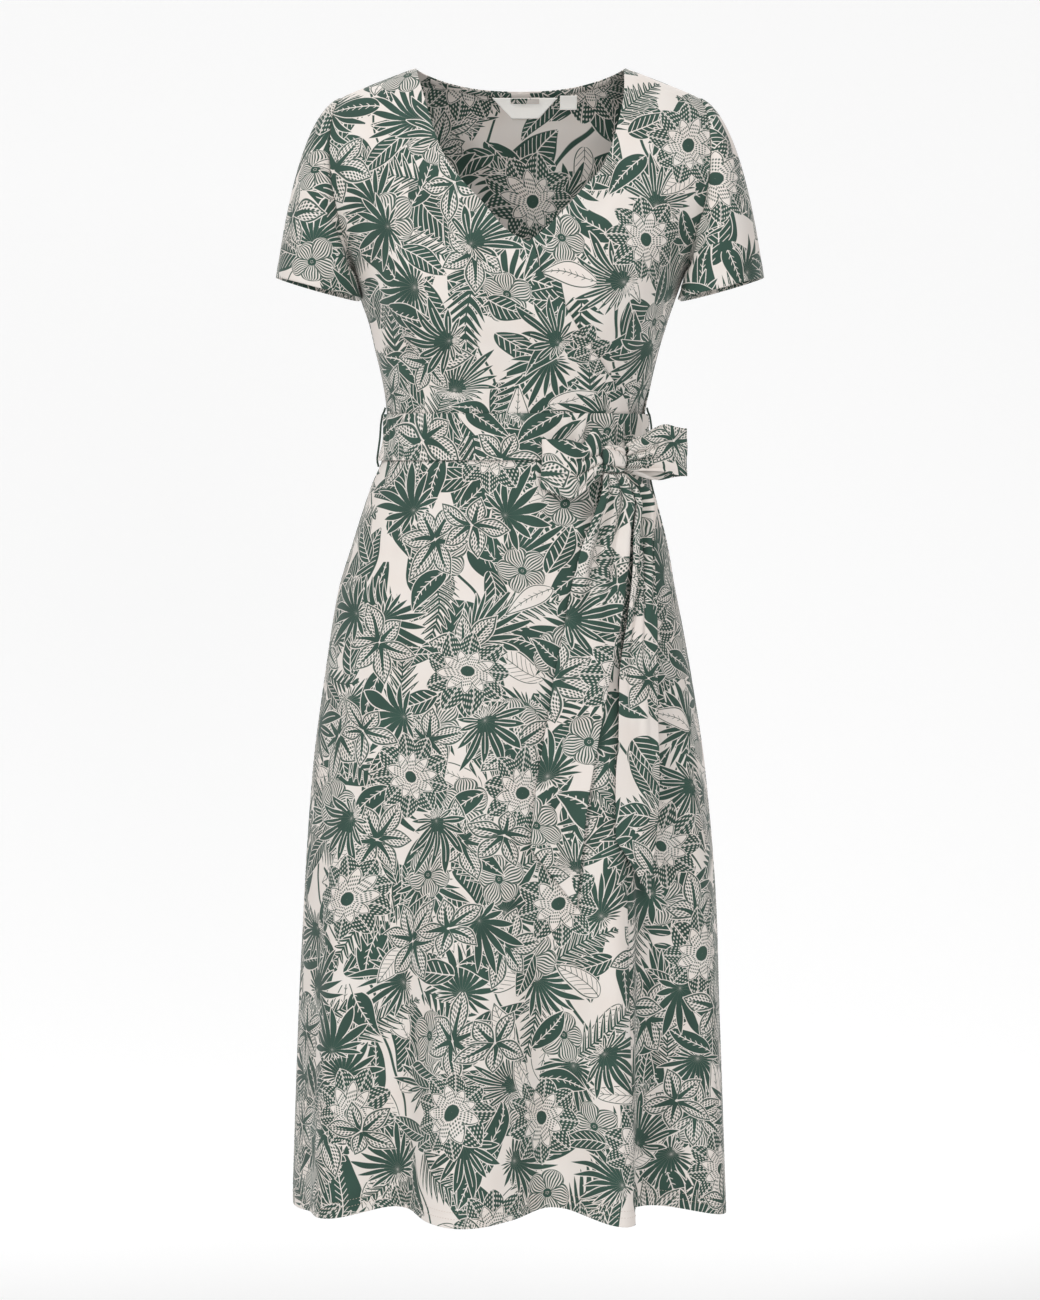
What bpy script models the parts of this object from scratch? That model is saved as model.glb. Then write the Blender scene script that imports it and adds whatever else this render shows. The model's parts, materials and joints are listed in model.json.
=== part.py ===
"""Short-sleeved midi wrap dress with its tie belt, filled out as it is when worn.

Metres, +Z up. The front faces -Y and the wearer's left side is at +X. The origin lies midway
between the middles of the two shoulder seams, where a wearer's shoulders carry the dress.
Tables and driving dimensions are in millimetres. A drop is the distance below the neck points,
the high ends of the shoulder seams. A bearing goes round the body: 0 is the wearer's left side
seam, 90 the centre front, 180 the right side seam and 270 the centre back.
"""

import math
from collections import namedtuple

import bmesh
import bpy
from mathutils import Vector
from mathutils.bvhtree import BVHTree

MM = 0.001

# Driving dimensions.
CLOTH = 1.6  # wall thickness of a cut panel
TRIM = 0.8  # wall thickness of labels and binding
SEAM_GAP = 0.4  # between two pieces that are sewn together
UNDERLAP = 3.4  # how far the under layer lies inside the over layer
FLUTED_UNDERLAP = 2.4  # and further inside at the hem, where both layers are fluted
ORIGIN_DROP = 15.0  # the middle of a shoulder seam lies this far below the neck point
NECK_POINT = 103.0  # from the centre line to a neck point
SHOULDER_TIP_DROP = 30.0
UNDERARM_DROP = 200.0
BACK_NECK_DROP = 17.5
NECK_ROUNDNESS = 0.42
WAIST_DROP = 366.0
HEM_DROP = 1131.0
BELT_TOP, BELT_BOTTOM = 343.0, 389.0
BELT_LIFT = 1.5  # the belt's inside above the panels that it lies on
CUFF_WIDTH, CUFF_DEPTH = 84.0, 120.0

Section = namedtuple("Section", "drop sway half_width front back")
SECTIONS = (
    Section(0, 0, 103, 36, 40),
    Section(4, 0, 114, 39, 44),
    Section(12, 0, 135, 45, 52),
    Section(20, 0, 155, 50, 58),
    Section(30, 0, 177, 56, 65),
    Section(45, 0, 191, 63, 73),
    Section(60, 0, 199, 70, 79),
    Section(85, 0, 206, 81, 88),
    Section(110, 0, 206, 90, 94),
    Section(140, 0, 197, 99, 99),
    Section(170, -1, 182, 106, 101),
    Section(200, -1, 166, 111, 101),
    Section(229, -2, 156, 113, 98),
    Section(252, -2, 148, 110, 94),
    Section(282, -3, 140, 102, 88),
    Section(312, -3, 133, 93, 83),
    Section(343, -4, 128, 86, 80),
    Section(366, -4, 127, 85, 80),
    Section(389, -5, 132, 88, 84),
    Section(415, -8, 140, 93, 92),
    Section(470, -10, 156, 100, 104),
    Section(520, -13, 168, 105, 112),
    Section(600, -12, 182, 113, 119),
    Section(700, -11, 196, 122, 126),
    Section(830, -10, 206, 134, 134),
    Section(950, -11, 211, 145, 141),
    Section(1060, -11, 215, 153, 148),
    Section(1180, -11, 219, 162, 157),
)
SQUARENESS = 2.3  # exponent of the sections; 2 is an ellipse

# Front view widths of the armhole seam, and of the edges of the two fronts.
Edge = namedtuple("Edge", "drop across")
ARMHOLE = (
    Edge(30, 177), Edge(45, 183.5), Edge(60, 186), Edge(85, 187), Edge(110, 185.5),
    Edge(140, 180), Edge(170, 172), Edge(190, 167), Edge(200, 166),
)
OVER_NECK = (
    Edge(0, -103), Edge(12, -100), Edge(36, -93), Edge(63, -85), Edge(87, -76),
    Edge(113, -59), Edge(141, -34), Edge(158, -20), Edge(171, -6), Edge(177, 8),
    Edge(184, 14), Edge(205, 20), Edge(225, 34), Edge(263, 56), Edge(303, 86),
    Edge(339, 107), Edge(370, 109),
)
UNDER_NECK = (
    Edge(0, 103), Edge(12, 103), Edge(29, 102), Edge(46, 99), Edge(73, 92),
    Edge(100, 82), Edge(126, 60), Edge(154, 35), Edge(170, 18), Edge(177, 8),
    Edge(209, -22), Edge(262, -56), Edge(320, -84), Edge(370, -102),
)
OVER_SKIRT_EDGE = (Edge(360, 109), Edge(440, 103), Edge(600, 100), Edge(1180, 100))
UNDER_SKIRT_EDGE = (Edge(360, -30), Edge(800, -48), Edge(1180, -60))

# Flutes: vertical folds that grow from nothing at their start down to the hem.
Flute = namedtuple("Flute", "bearing span depth start")
OVER_FLUTES = (
    Flute(139, 16, 14, 450), Flute(121, 15, -20, 440), Flute(98, 18, 33, 420),
    Flute(81, 13, -17, 470), Flute(66, 12, 30, 410), Flute(47, 12, -22, 430),
)
UNDER_FLUTES = (Flute(47, 22, -22, 430), Flute(24, 15, 12, 470))
BACK_FLUTES = (
    Flute(203, 17, 10, 500), Flute(223, 18, -22, 450), Flute(245, 18, 28, 430),
    Flute(268, 17, -18, 470), Flute(291, 18, 29, 430), Flute(314, 17, -23, 450),
    Flute(336, 17, 11, 500),
)
FLUTE_GROWTH = 1.3
HEM_SAG = 0.24  # a flute's crest hangs lower by this share of its depth
FRONT_HEM_RISE = 14  # the hem is this much higher at the centre front than at the sides

# The fronts are cut fuller over the bust, which is a soft swell on a general figure.
BUST_BEARINGS = (57, 123)
BUST_SPAN, BUST_DROP, BUST_REACH, BUST_FULLNESS = 38, 222, 95, 9

# The bow, tied over the free edge of the wrap.
KNOT_ACROSS, KNOT_DROP = 84.0, 388.0
KNOT_SIZE = Vector((26, 17, 27))  # along the belt, out from it, and up
KNOT_POWER = 2.5  # exponent of the knot's rounded block; 2 is an egg
LOOP_ROOT, LOOP_SPREAD = 9.0, 23.5  # half heights of a bow loop at the knot and at its end
TAIL_CLEARANCE = 2.8
TAIL_RIPPLE = 6.0  # how far a tail's edges curl out below the knot
Loop = namedtuple("Loop", "name reach rise sag half_gap")
BOW_LOOPS = (Loop("bow_loop_side", 79, 7, 0, 8), Loop("bow_loop_front", 66.5, -4, 11, 7))
Tail = namedtuple("Tail", "drop left right")
LONG_TAIL = (
    Tail(398, 75, 86), Tail(415, 72, 95), Tail(439, 66, 100), Tail(477, 55, 100),
    Tail(530, 44, 96), Tail(564, 39, 91), Tail(601, 32, 83), Tail(641, 26, 75),
    Tail(676, 20, 69), Tail(717, 14, 63), Tail(762, 10, 59), Tail(830, 9, 54),
)
SHORT_TAIL = (
    Tail(398, 87, 94), Tail(415, 98, 109), Tail(439, 104, 119), Tail(486, 104, 124),
    Tail(540, 100, 127), Tail(600, 92, 128), Tail(660, 90, 128), Tail(700, 87, 127),
    Tail(749, 86, 123), Tail(797, 85, 117), Tail(820, 85, 115),
)
LONG_TAIL_ENDS = (766, 822)  # drops of the slanting end's left and right corners
SHORT_TAIL_ENDS = (757, 814)

NAVY_GREEN, CREAM = (0.052, 0.117, 0.087, 1), (0.82, 0.74, 0.68, 1)


def clear_scene():
    """Removes whatever the file holds, so that only the dress is left."""
    for obj in list(bpy.data.objects):
        bpy.data.objects.remove(obj)
    bpy.context.scene.unit_settings.scale_length = 1.0


def make_material(name, colour, roughness):
    material = bpy.data.materials.new(name)
    material.use_nodes = True
    shader = material.node_tree.nodes["Principled BSDF"]
    shader.inputs["Base Color"].default_value = colour
    shader.inputs["Roughness"].default_value = roughness
    shader.inputs["Metallic"].default_value = 0.0
    return material


class Profile:
    """A smooth curve through the rows of a table that never swings past them."""

    def __init__(self, table, column):
        self.x = [row.drop for row in table]
        self.y = [getattr(row, column) for row in table]
        steps = list(zip(self.x, self.x[1:], self.y, self.y[1:]))
        rise = [(y1 - y0) / (x1 - x0) for x0, x1, y0, y1 in steps]
        inner = [2 * a * b / (a + b) if a * b > 0 else 0.0 for a, b in zip(rise, rise[1:])]
        self.slope = [rise[0], *inner, rise[-1]]

    def at(self, x):
        x = min(max(x, self.x[0]), self.x[-1])
        i = max(k for k in range(len(self.x) - 1) if self.x[k] <= x)
        width = self.x[i + 1] - self.x[i]
        t = (x - self.x[i]) / width
        start = (1 + 2 * t) * (1 - t) ** 2 * self.y[i] + t * (1 - t) ** 2 * width * self.slope[i]
        end = t * t * (3 - 2 * t) * self.y[i + 1] + t * t * (t - 1) * width * self.slope[i + 1]
        return start + end


SWAY, HALF_WIDTH = Profile(SECTIONS, "sway"), Profile(SECTIONS, "half_width")
FRONT, BACK = Profile(SECTIONS, "front"), Profile(SECTIONS, "back")
ARMHOLE_ACROSS = Profile(ARMHOLE, "across")
OVER_NECK_ACROSS, UNDER_NECK_ACROSS = Profile(OVER_NECK, "across"), Profile(UNDER_NECK, "across")
OVER_SKIRT_ACROSS = Profile(OVER_SKIRT_EDGE, "across")
UNDER_SKIRT_ACROSS = Profile(UNDER_SKIRT_EDGE, "across")


def ease(low, high, x):
    """0 below low, 1 above high, and a smooth rise between them."""
    t = min(max((x - low) / (high - low), 0.0), 1.0)
    return t * t * (3 - 2 * t)


def swell(distance, span):
    """A soft rounded bump: 1 at its middle and 0 from span outwards."""
    return math.cos(math.pi / 2 * distance / span) ** 2 if abs(distance) < span else 0.0


def flute_depth(flutes, bearing, drop):
    """How far the folds move the cloth outwards at this place."""
    total = 0.0
    for flute in flutes:
        grown = max(drop - flute.start, 0) / (HEM_DROP - flute.start)
        total += flute.depth * grown**FLUTE_GROWTH * swell(bearing - flute.bearing, flute.span)
    return total


def bust_fullness(bearing, drop):
    along = swell(drop - BUST_DROP, BUST_REACH)
    return BUST_FULLNESS * along * sum(swell(bearing - b, BUST_SPAN) for b in BUST_BEARINGS)


def body_point(bearing, drop, lift=0.0):
    """The point of the worn form at a bearing and drop, moved outwards by lift."""
    lift += bust_fullness(bearing, drop)
    c, s = math.cos(math.radians(bearing)), math.sin(math.radians(bearing))
    power = 2 / SQUARENESS
    x = math.copysign(abs(c) ** power, c) * (HALF_WIDTH.at(drop) + lift)
    depth = (FRONT if s > 0 else BACK).at(drop) + lift
    y = -math.copysign(abs(s) ** power, s) * depth
    return Vector((SWAY.at(drop) + x, y, ORIGIN_DROP - drop))


def bearing_at(across, drop, back=False):
    """The bearing where the section at this drop is as far across as that."""
    share = min(max((across - SWAY.at(drop)) / HALF_WIDTH.at(drop), -1.0), 1.0)
    cosine = math.copysign(abs(share) ** (SQUARENESS / 2), share)
    bearing = math.degrees(math.acos(cosine))
    return 360 - bearing if back else bearing


def seam_bearing(drop, back=False):
    """How far from the side the cloth stops so that half a seam gap is left."""
    depth = (BACK if back else FRONT).at(drop)
    return math.degrees(math.asin((SEAM_GAP / 2 / depth) ** (SQUARENESS / 2)))


def outer_bearing(drop, back=False):
    """Degrees from the side to where a bodice piece starts: at the shoulder, armhole or side seam."""
    start = seam_bearing(drop, back)
    if SHOULDER_TIP_DROP < drop < UNDERARM_DROP:
        share = min(ARMHOLE_ACROSS.at(drop) / HALF_WIDTH.at(drop), 1.0)
        start = max(start, math.degrees(math.acos(share ** (SQUARENESS / 2))))
    return start


def crowded(share, crowd):
    """Moves a share of a row so that its points lie closer together at one or both of its ends."""
    if crowd == "both":
        return share - 0.5 * math.sin(2 * math.pi * share) / (2 * math.pi)
    pull = {"start": -0.5, "end": 0.5, "even": 0.0}[crowd]
    return share + pull * math.sin(math.pi * share) / math.pi


def spaced(points, count, crowd="even"):
    """count points along a line of points."""
    length = [0.0]
    for a, b in zip(points, points[1:]):
        length.append(length[-1] + (b - a).length)
    result, i = [], 0
    for k in range(count):
        want = length[-1] * crowded(k / (count - 1), crowd)
        while i < len(points) - 2 and length[i + 1] < want:
            i += 1
        share = (want - length[i]) / max(length[i + 1] - length[i], 1e-9)
        result.append(points[i].lerp(points[i + 1], min(share, 1.0)))
    return result


FINE_STEPS = 120  # points that a section is drawn with before it is spaced out


def arc(start, end, place, count, crowd="even"):
    """A row of count points from bearing start to bearing end."""
    bearings = [start + (end - start) * k / FINE_STEPS for k in range(FINE_STEPS + 1)]
    return spaced([place(bearing) for bearing in bearings], count, crowd)


def add_grid(bm, rows, closed=False):
    """Skins rows of points with quads that face outwards when bearings rise along a row."""
    made = [[bm.verts.new(point * MM) for point in row] for row in rows]
    for upper, lower in zip(made, made[1:]):
        ring = list(zip(upper, lower))
        pairs = zip(ring, ring[1:] + ring[:1]) if closed else zip(ring, ring[1:])
        for (a, d), (b, c) in pairs:
            bm.faces.new((a, b, c, d))


def make_object(name, bm, material):
    bmesh.ops.remove_doubles(bm, verts=bm.verts, dist=0.02 * MM)
    mesh = bpy.data.meshes.new(name)
    bm.to_mesh(mesh)
    bm.free()
    mesh.shade_smooth()
    mesh.materials.append(material)
    obj = bpy.data.objects.new(name, mesh)
    DRESS.objects.link(obj)
    return obj


def make_cloth(name, grids, material, thickness=CLOTH, inward=True, closed=False, flip=False):
    """A sewn piece: one or more grids of outside points, given the thickness of its cloth."""
    bm = bmesh.new()
    for rows in grids:
        add_grid(bm, rows, closed)
    if flip:
        bmesh.ops.reverse_faces(bm, faces=bm.faces)
    obj = make_object(name, bm, material)
    wall = obj.modifiers.new("Cloth thickness", "SOLIDIFY")
    wall.thickness = thickness * MM
    wall.offset = -1 if inward else 1
    return obj


# Bodice rows lie closer together where the edges bend: at the neck, the shoulder and the underarm.
SHOULDER_ROWS = (0.5, 3, 8, 14, 21, 30, 34, 40, 50, 64, 82, 102, 122, 142, 160, 173)
CHEST_ROWS = (183, 192, 198, 202, 214, 230, 248, 267, 288, 309, 330, 350)
BACK_NECK_ROWS = (0.5, 3, 7, 11, 14, 15.9, 17, BACK_NECK_DROP)  # they follow the back neckline
BODICE_BOTTOM = WAIST_DROP - SEAM_GAP / 2
SKIRT_TOP = WAIST_DROP + SEAM_GAP / 2
FRONT_COLUMNS, BACK_HALF_COLUMNS = 14, 10


def bodice_rows(back=False):
    """The drops of a bodice's rows of points."""
    rows = (*SHOULDER_ROWS, *CHEST_ROWS, BODICE_BOTTOM)
    if back:
        return (*BACK_NECK_ROWS, *(drop for drop in rows if drop > BACK_NECK_DROP))
    return rows


def under_lift(across, drop, over_edge):
    """Sinks the under layer where the over layer covers it, and for a little way beside it."""
    return -UNDERLAP * (1 - ease(8, 45, across - over_edge.at(drop)))


def make_over_front(material):
    """The wearer's right front, which crosses over and runs down to the bow."""
    rows = []
    for drop in bodice_rows():
        edge = bearing_at(OVER_NECK_ACROSS.at(drop), drop)
        place = lambda b, d=drop: body_point(b, d)
        rows.append(arc(edge, 180 - outer_bearing(drop), place, FRONT_COLUMNS, "end"))
    return make_cloth("right_front_bodice", [rows], material)


def make_under_front(material):
    """The wearer's left front, whose edge runs on under the right front to its waist."""

    def place(bearing, drop):
        across = body_point(bearing, drop).x
        return body_point(bearing, drop, under_lift(across, drop, OVER_NECK_ACROSS))

    rows = []
    for drop in bodice_rows():
        edge = bearing_at(UNDER_NECK_ACROSS.at(drop), drop)
        here = lambda b, d=drop: place(b, d)
        rows.append(arc(outer_bearing(drop), edge, here, FRONT_COLUMNS, "start"))
    return make_cloth("left_front_bodice", [rows], material)


def back_neck_bearing(drop):
    """Where the back neckline crosses this drop, on the wearer's right side."""
    if drop >= BACK_NECK_DROP:
        return 270.0
    across = NECK_POINT * (1 - drop / BACK_NECK_DROP) ** NECK_ROUNDNESS
    return 360 - bearing_at(-across, drop)


def make_back_bodice(material):
    """One piece, drawn as two halves that are welded down the centre below the neckline."""
    right, left = [], []
    for drop in bodice_rows(back=True):
        outer, inner = outer_bearing(drop, back=True), back_neck_bearing(drop)
        place = lambda b, d=drop: body_point(b, d)
        right.append(arc(180 + outer, inner, place, BACK_HALF_COLUMNS, "start"))
        left.append(arc(540 - inner, 360 - outer, place, BACK_HALF_COLUMNS, "end"))
    return make_cloth("back_bodice", [right, left], material)


SLEEVE_POINTS, SLEEVE_RINGS = 26, 7
SLEEVE_SEAM = 1.2  # how far the sleeve's first ring stands outside the armhole seam
CUFF_MIDDLE = Vector((201.0, 0, -219.0))
CUFF_UP = Vector((0.962, 0, 0.273))  # from the underarm side of the cuff to its outer side
CAP_MIDDLE = Vector((195.0, 0, -130.0))  # the ring that shapes the sleeve cap
CAP_UP = Vector((23.5, 0, 83.0))
CAP_DEPTH = 66.0


def sleeve_point(turn, share, side):
    """A sleeve point: turn goes round from the shoulder tip, share runs from armhole to cuff.

    Side is 1 on the wearer's left and -1 on the right.
    """
    height, width = math.cos(math.radians(turn)), math.sin(math.radians(turn))
    middle = (SHOULDER_TIP_DROP + UNDERARM_DROP) / 2
    drop = middle - (UNDERARM_DROP - SHOULDER_TIP_DROP) / 2 * height
    back = width < 0
    bearing = 360 - outer_bearing(drop, back) if back else outer_bearing(drop)
    sway = Vector((SWAY.at(drop), 0, 0))
    seam = body_point(bearing, drop) - sway - Vector((-SLEEVE_SEAM, 0, ORIGIN_DROP))
    cap = CAP_MIDDLE + CAP_UP * height - Vector((0, CAP_DEPTH * width, 0))
    cuff = CUFF_MIDDLE + CUFF_UP * (CUFF_WIDTH / 2 * height) - Vector((0, CUFF_DEPTH / 2 * width, 0))
    point = seam * (1 - share) ** 2 + cap * (2 * share * (1 - share)) + cuff * share**2
    point.x *= side
    return point + sway * (1 - share) ** 2 + Vector((0, 0, ORIGIN_DROP))


def make_sleeve(name, side, material):
    """A short set-in sleeve."""
    turns = [360 * k / SLEEVE_POINTS for k in range(SLEEVE_POINTS)]
    shares = [j / SLEEVE_RINGS for j in range(SLEEVE_RINGS + 1)]
    rows = [[sleeve_point(turn, share, side) for turn in turns] for share in shares]
    return make_cloth(name, [rows], material, closed=True, flip=side < 0)


SKIRT_ROWS = 13
OVER_COLUMNS, UNDER_COLUMNS, BACK_COLUMNS = 34, 20, 34


def hem_drop(bearing):
    """The level of the hem between its flutes."""
    return HEM_DROP - FRONT_HEM_RISE * swell(bearing - 90, 90)


def skirt_point(bearing, share, flutes, lift=0.0):
    """A point of the skirt: share runs from the waist seam to the hem."""
    hem = hem_drop(bearing) + HEM_SAG * flute_depth(flutes, bearing, HEM_DROP)
    drop = SKIRT_TOP + (hem - SKIRT_TOP) * share
    return body_point(bearing, drop, lift + flute_depth(flutes, bearing, drop))


def row_shares():
    """Rows are closest under the waist, where the skirt opens out."""
    return [(j / SKIRT_ROWS) ** 1.5 for j in range(SKIRT_ROWS + 1)]


def make_over_skirt(material):
    """The right front skirt, from its side seam to the free edge of the wrap."""
    rows = []
    for share in row_shares():
        drop = SKIRT_TOP + (HEM_DROP - SKIRT_TOP) * share
        edge = bearing_at(OVER_SKIRT_ACROSS.at(drop), drop)
        side = 180 - seam_bearing(drop)
        place = lambda b, s=share: skirt_point(b, s, OVER_FLUTES)
        rows.append(arc(edge, side, place, OVER_COLUMNS, "end"))
    return make_cloth("right_front_skirt", [rows], material)


def under_skirt_point(bearing, share):
    """The under layer stays inside the over layer wherever that covers it."""
    drop = SKIRT_TOP + (HEM_DROP - SKIRT_TOP) * share
    across = skirt_point(bearing, share, ()).x
    own = flute_depth(UNDER_FLUTES, bearing, drop)
    covering = flute_depth(OVER_FLUTES, bearing, drop)
    covered = 1 - ease(-10, 25, across - OVER_SKIRT_ACROSS.at(drop))
    parted = ease(-70, -15, across - OVER_SKIRT_ACROSS.at(drop))
    beneath = covering + (min(own, covering) - covering) * parted - FLUTED_UNDERLAP * share
    depth = beneath * covered + own * (1 - covered)
    hem = hem_drop(bearing) - 4 * covered + HEM_SAG * depth * share
    drop = SKIRT_TOP + (hem - SKIRT_TOP) * share
    return body_point(bearing, drop, depth + under_lift(across, drop, OVER_SKIRT_ACROSS))


def make_under_skirt(material):
    """The left front skirt, from its side seam to well under the right front skirt."""
    rows = []
    for share in row_shares():
        drop = SKIRT_TOP + (HEM_DROP - SKIRT_TOP) * share
        edge = bearing_at(UNDER_SKIRT_ACROSS.at(drop), drop)
        side = seam_bearing(drop)
        place = lambda b, s=share: under_skirt_point(b, s)
        rows.append(arc(side, edge, place, UNDER_COLUMNS, "start"))
    return make_cloth("left_front_skirt", [rows], material)


def make_back_skirt(material):
    rows = []
    for share in row_shares():
        drop = SKIRT_TOP + (HEM_DROP - SKIRT_TOP) * share
        side = seam_bearing(drop, back=True)
        place = lambda b, s=share: skirt_point(b, s, BACK_FLUTES)
        rows.append(arc(180 + side, 360 - side, place, BACK_COLUMNS, "both"))
    return make_cloth("back_skirt", [rows], material)


BELT_COLUMNS, BELT_ROWS = 64, 3


def make_belt(material):
    """The part of the tie belt that goes round the waist, through the two side loops."""
    rows = []
    for j in range(BELT_ROWS + 1):
        drop = BELT_TOP + (BELT_BOTTOM - BELT_TOP) * j / BELT_ROWS
        ring = arc(0, 360, lambda b, d=drop: body_point(b, d, BELT_LIFT), BELT_COLUMNS + 1)
        rows.append(ring[:-1])
    return make_cloth("waist_belt", [rows], material, inward=False, closed=True)


def knot_frame():
    """The knot's middle, and the directions along the belt to the side and out from the body."""
    bearing = bearing_at(KNOT_ACROSS, KNOT_DROP)
    belt_face = BELT_LIFT + CLOTH
    before, after = (body_point(bearing + d, KNOT_DROP, belt_face) for d in (1, -1))
    along = (after - before).normalized()
    out = Vector((along.y, -along.x, 0))
    middle = body_point(bearing, KNOT_DROP, belt_face) + out * (KNOT_SIZE.y / 2 + SEAM_GAP)
    return middle, along, out


def make_knot(material):
    """The wrapped middle of the bow, a short soft roll that the loops and tails come out of."""
    middle, along, out = knot_frame()
    bm = bmesh.new()
    bmesh.ops.create_uvsphere(bm, u_segments=16, v_segments=10, radius=1)
    for vert in bm.verts:
        unit = [math.copysign(abs(c) ** (2 / KNOT_POWER), c) for c in vert.co]
        size = [c * half for c, half in zip(unit, KNOT_SIZE / 2)]
        vert.co = (middle + along * size[0] + out * size[1] + Vector((0, 0, size[2]))) * MM
    bmesh.ops.reverse_faces(bm, faces=bm.faces)
    return make_object("bow_knot", bm, material)


def knot_edge(offset, half, other_half):
    """Half the knot's size one way, at this distance from its middle the other way."""
    level = min(abs(offset) / other_half, 0.97)
    return half * (1 - level**KNOT_POWER) ** (1 / KNOT_POWER)


LOOP_STEPS, LOOP_COLUMNS = 22, 5


def loop_height(loop, reach):
    """Middle and half height of a bow loop at a distance from the knot."""
    opened = ease(0.05, 0.75, reach / loop.reach)
    return loop.rise * opened, LOOP_ROOT + (LOOP_SPREAD - LOOP_ROOT) * opened


def make_bow_loop(loop, place, material):
    """A band that goes out from the knot, turns, and comes back behind itself."""
    rows = []
    for i in range(LOOP_STEPS + 1):
        turn = math.pi * i / LOOP_STEPS
        row = []
        for k in range(LOOP_COLUMNS):
            share = 2 * k / (LOOP_COLUMNS - 1) - 1
            root = knot_edge(share * LOOP_ROOT, KNOT_SIZE.x / 2, KNOT_SIZE.z / 2)
            start = root + SEAM_GAP + 0.3
            reach = start + (loop.reach - start) * math.sin(turn) ** 0.8
            layer = loop.half_gap * math.cos(turn) * (0.35 + 0.65 * math.sin(turn))
            middle, half_height = loop_height(loop, reach)
            sagging = loop.sag * swell(reach / loop.reach - 0.6, 0.5) * max(-share, 0)
            row.append(place(reach, layer, middle + share * half_height - sagging))
        rows.append(row)
    return make_cloth(loop.name, [rows], material, inward=False)


def make_bow(material):
    """Both loops of the bow: one stands out to the side, the other lies on the front."""
    middle, along, out = knot_frame()
    side, front = BOW_LOOPS

    def beside(reach, layer, height):
        lean = along * math.cos(math.radians(8)) + out * math.sin(math.radians(8))
        return middle + lean * reach + out * layer + Vector((0, 0, height))

    def before(reach, layer, height):
        across = KNOT_ACROSS - reach * 0.96
        lift = BELT_LIFT + CLOTH + KNOT_SIZE.y / 2 + SEAM_GAP + layer
        return body_point(bearing_at(across, KNOT_DROP), KNOT_DROP - height, lift)

    make_knot(material)
    make_bow_loop(side, beside, material)
    make_bow_loop(front, before, material)


TAIL_ROWS, TAIL_COLUMNS = 15, 6


def tail_point(across, drop, flutes, extra):
    bearing = bearing_at(across, drop)
    out_of_knot = KNOT_SIZE.y / 2 * (1 - ease(404, 470, drop))
    lift = TAIL_CLEARANCE + out_of_knot + extra + flute_depth(flutes, bearing, drop)
    return body_point(bearing, drop, lift)


def make_tail(name, table, ends, flutes, stand_off, material):
    """A hanging end of the belt, gathered at the knot and cut slanting at its foot."""
    left, right = Profile(table, "left"), Profile(table, "right")
    rows = []
    for j in range(TAIL_ROWS + 1):
        row = []
        for k in range(TAIL_COLUMNS):
            share = k / (TAIL_COLUMNS - 1)
            foot = ends[0] + (ends[1] - ends[0]) * share
            offset = table[0].left + (table[0].right - table[0].left) * share - KNOT_ACROSS
            top = KNOT_DROP + knot_edge(offset, KNOT_SIZE.z / 2, KNOT_SIZE.x / 2) + SEAM_GAP + 0.2
            drop = top + (foot - top) * (j / TAIL_ROWS) ** 1.15
            across = left.at(drop) + (right.at(drop) - left.at(drop)) * share
            gathered = ease(400, 430, drop) * (1 - ease(430, 640, drop))
            ripple = TAIL_RIPPLE * gathered * (1 + math.cos(2 * math.pi * share)) / 2
            stand = ripple + stand_off * ease(430, HEM_DROP, drop)
            row.append(tail_point(across, drop, flutes, stand))
        rows.append(row)
    return make_cloth(name, [rows], material, inward=False, flip=True)


BELT_LOOP_RADIUS = 1.1
BeltLoop = namedtuple("BeltLoop", "drop stand")
BELT_LOOP_PATH = (
    BeltLoop(336.5, 1.8), BeltLoop(340.5, 3.4), BeltLoop(344, 5.4), BeltLoop(353, 7.4),
    BeltLoop(366, 8.6), BeltLoop(378, 8.0), BeltLoop(386, 6.4), BeltLoop(390.5, 4.8),
    BeltLoop(395, 1.9),
)


def make_belt_loop(name, bearing, material):
    """A thread loop at a side seam that holds the belt."""
    curve = bpy.data.curves.new(name, "CURVE")
    curve.dimensions = "3D"
    curve.bevel_depth = BELT_LOOP_RADIUS * MM
    curve.bevel_resolution = 2
    curve.use_fill_caps = True
    line = curve.splines.new("POLY")
    line.points.add(len(BELT_LOOP_PATH) - 1)
    for point, row in zip(line.points, BELT_LOOP_PATH):
        point.co = (*(body_point(bearing, row.drop, row.stand) * MM), 1)
    curve.materials.append(material)
    obj = bpy.data.objects.new(name, curve)
    DRESS.objects.link(obj)
    return obj


LABEL_MIDDLE = 5.0
SEWN_ON = 0.4  # from a panel to what is sewn on to it
Patch = namedtuple("Patch", "name middle top bottom top_half bottom_half clear")
PATCHES = (
    Patch("neck_label", LABEL_MIDDLE, 22.6, 42.5, 33, 13.5, SEWN_ON),
    Patch("hanger_tab", LABEL_MIDDLE, 22.6, 27.5, 14.5, 14.5, 2 * SEWN_ON + TRIM),
    Patch("size_tab", 49, 20.5, 34, 8.5, 8.5, SEWN_ON),
)
BINDING_WIDTH = 3.8


def make_surfaces(obj):
    """The outside faces of a cloth piece, and all the faces of its finished thickness."""
    finished = obj.evaluated_get(bpy.context.evaluated_depsgraph_get()).to_mesh()
    return [
        BVHTree.FromPolygons([v.co for v in mesh.vertices], [f.vertices for f in mesh.polygons])
        for mesh in (obj.data, finished)
    ]


def inside_point(surfaces, across, drop, clear):
    """The point at this distance inside the inner face of the back bodice."""
    outside, finished = surfaces
    near = body_point(bearing_at(across, drop, back=True), drop) * MM
    place, normal, _, _ = outside.find_nearest(near)
    place, normal, _, _ = finished.find_nearest(place - normal * (CLOTH + 2) * MM)
    return place / MM + normal * clear


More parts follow.
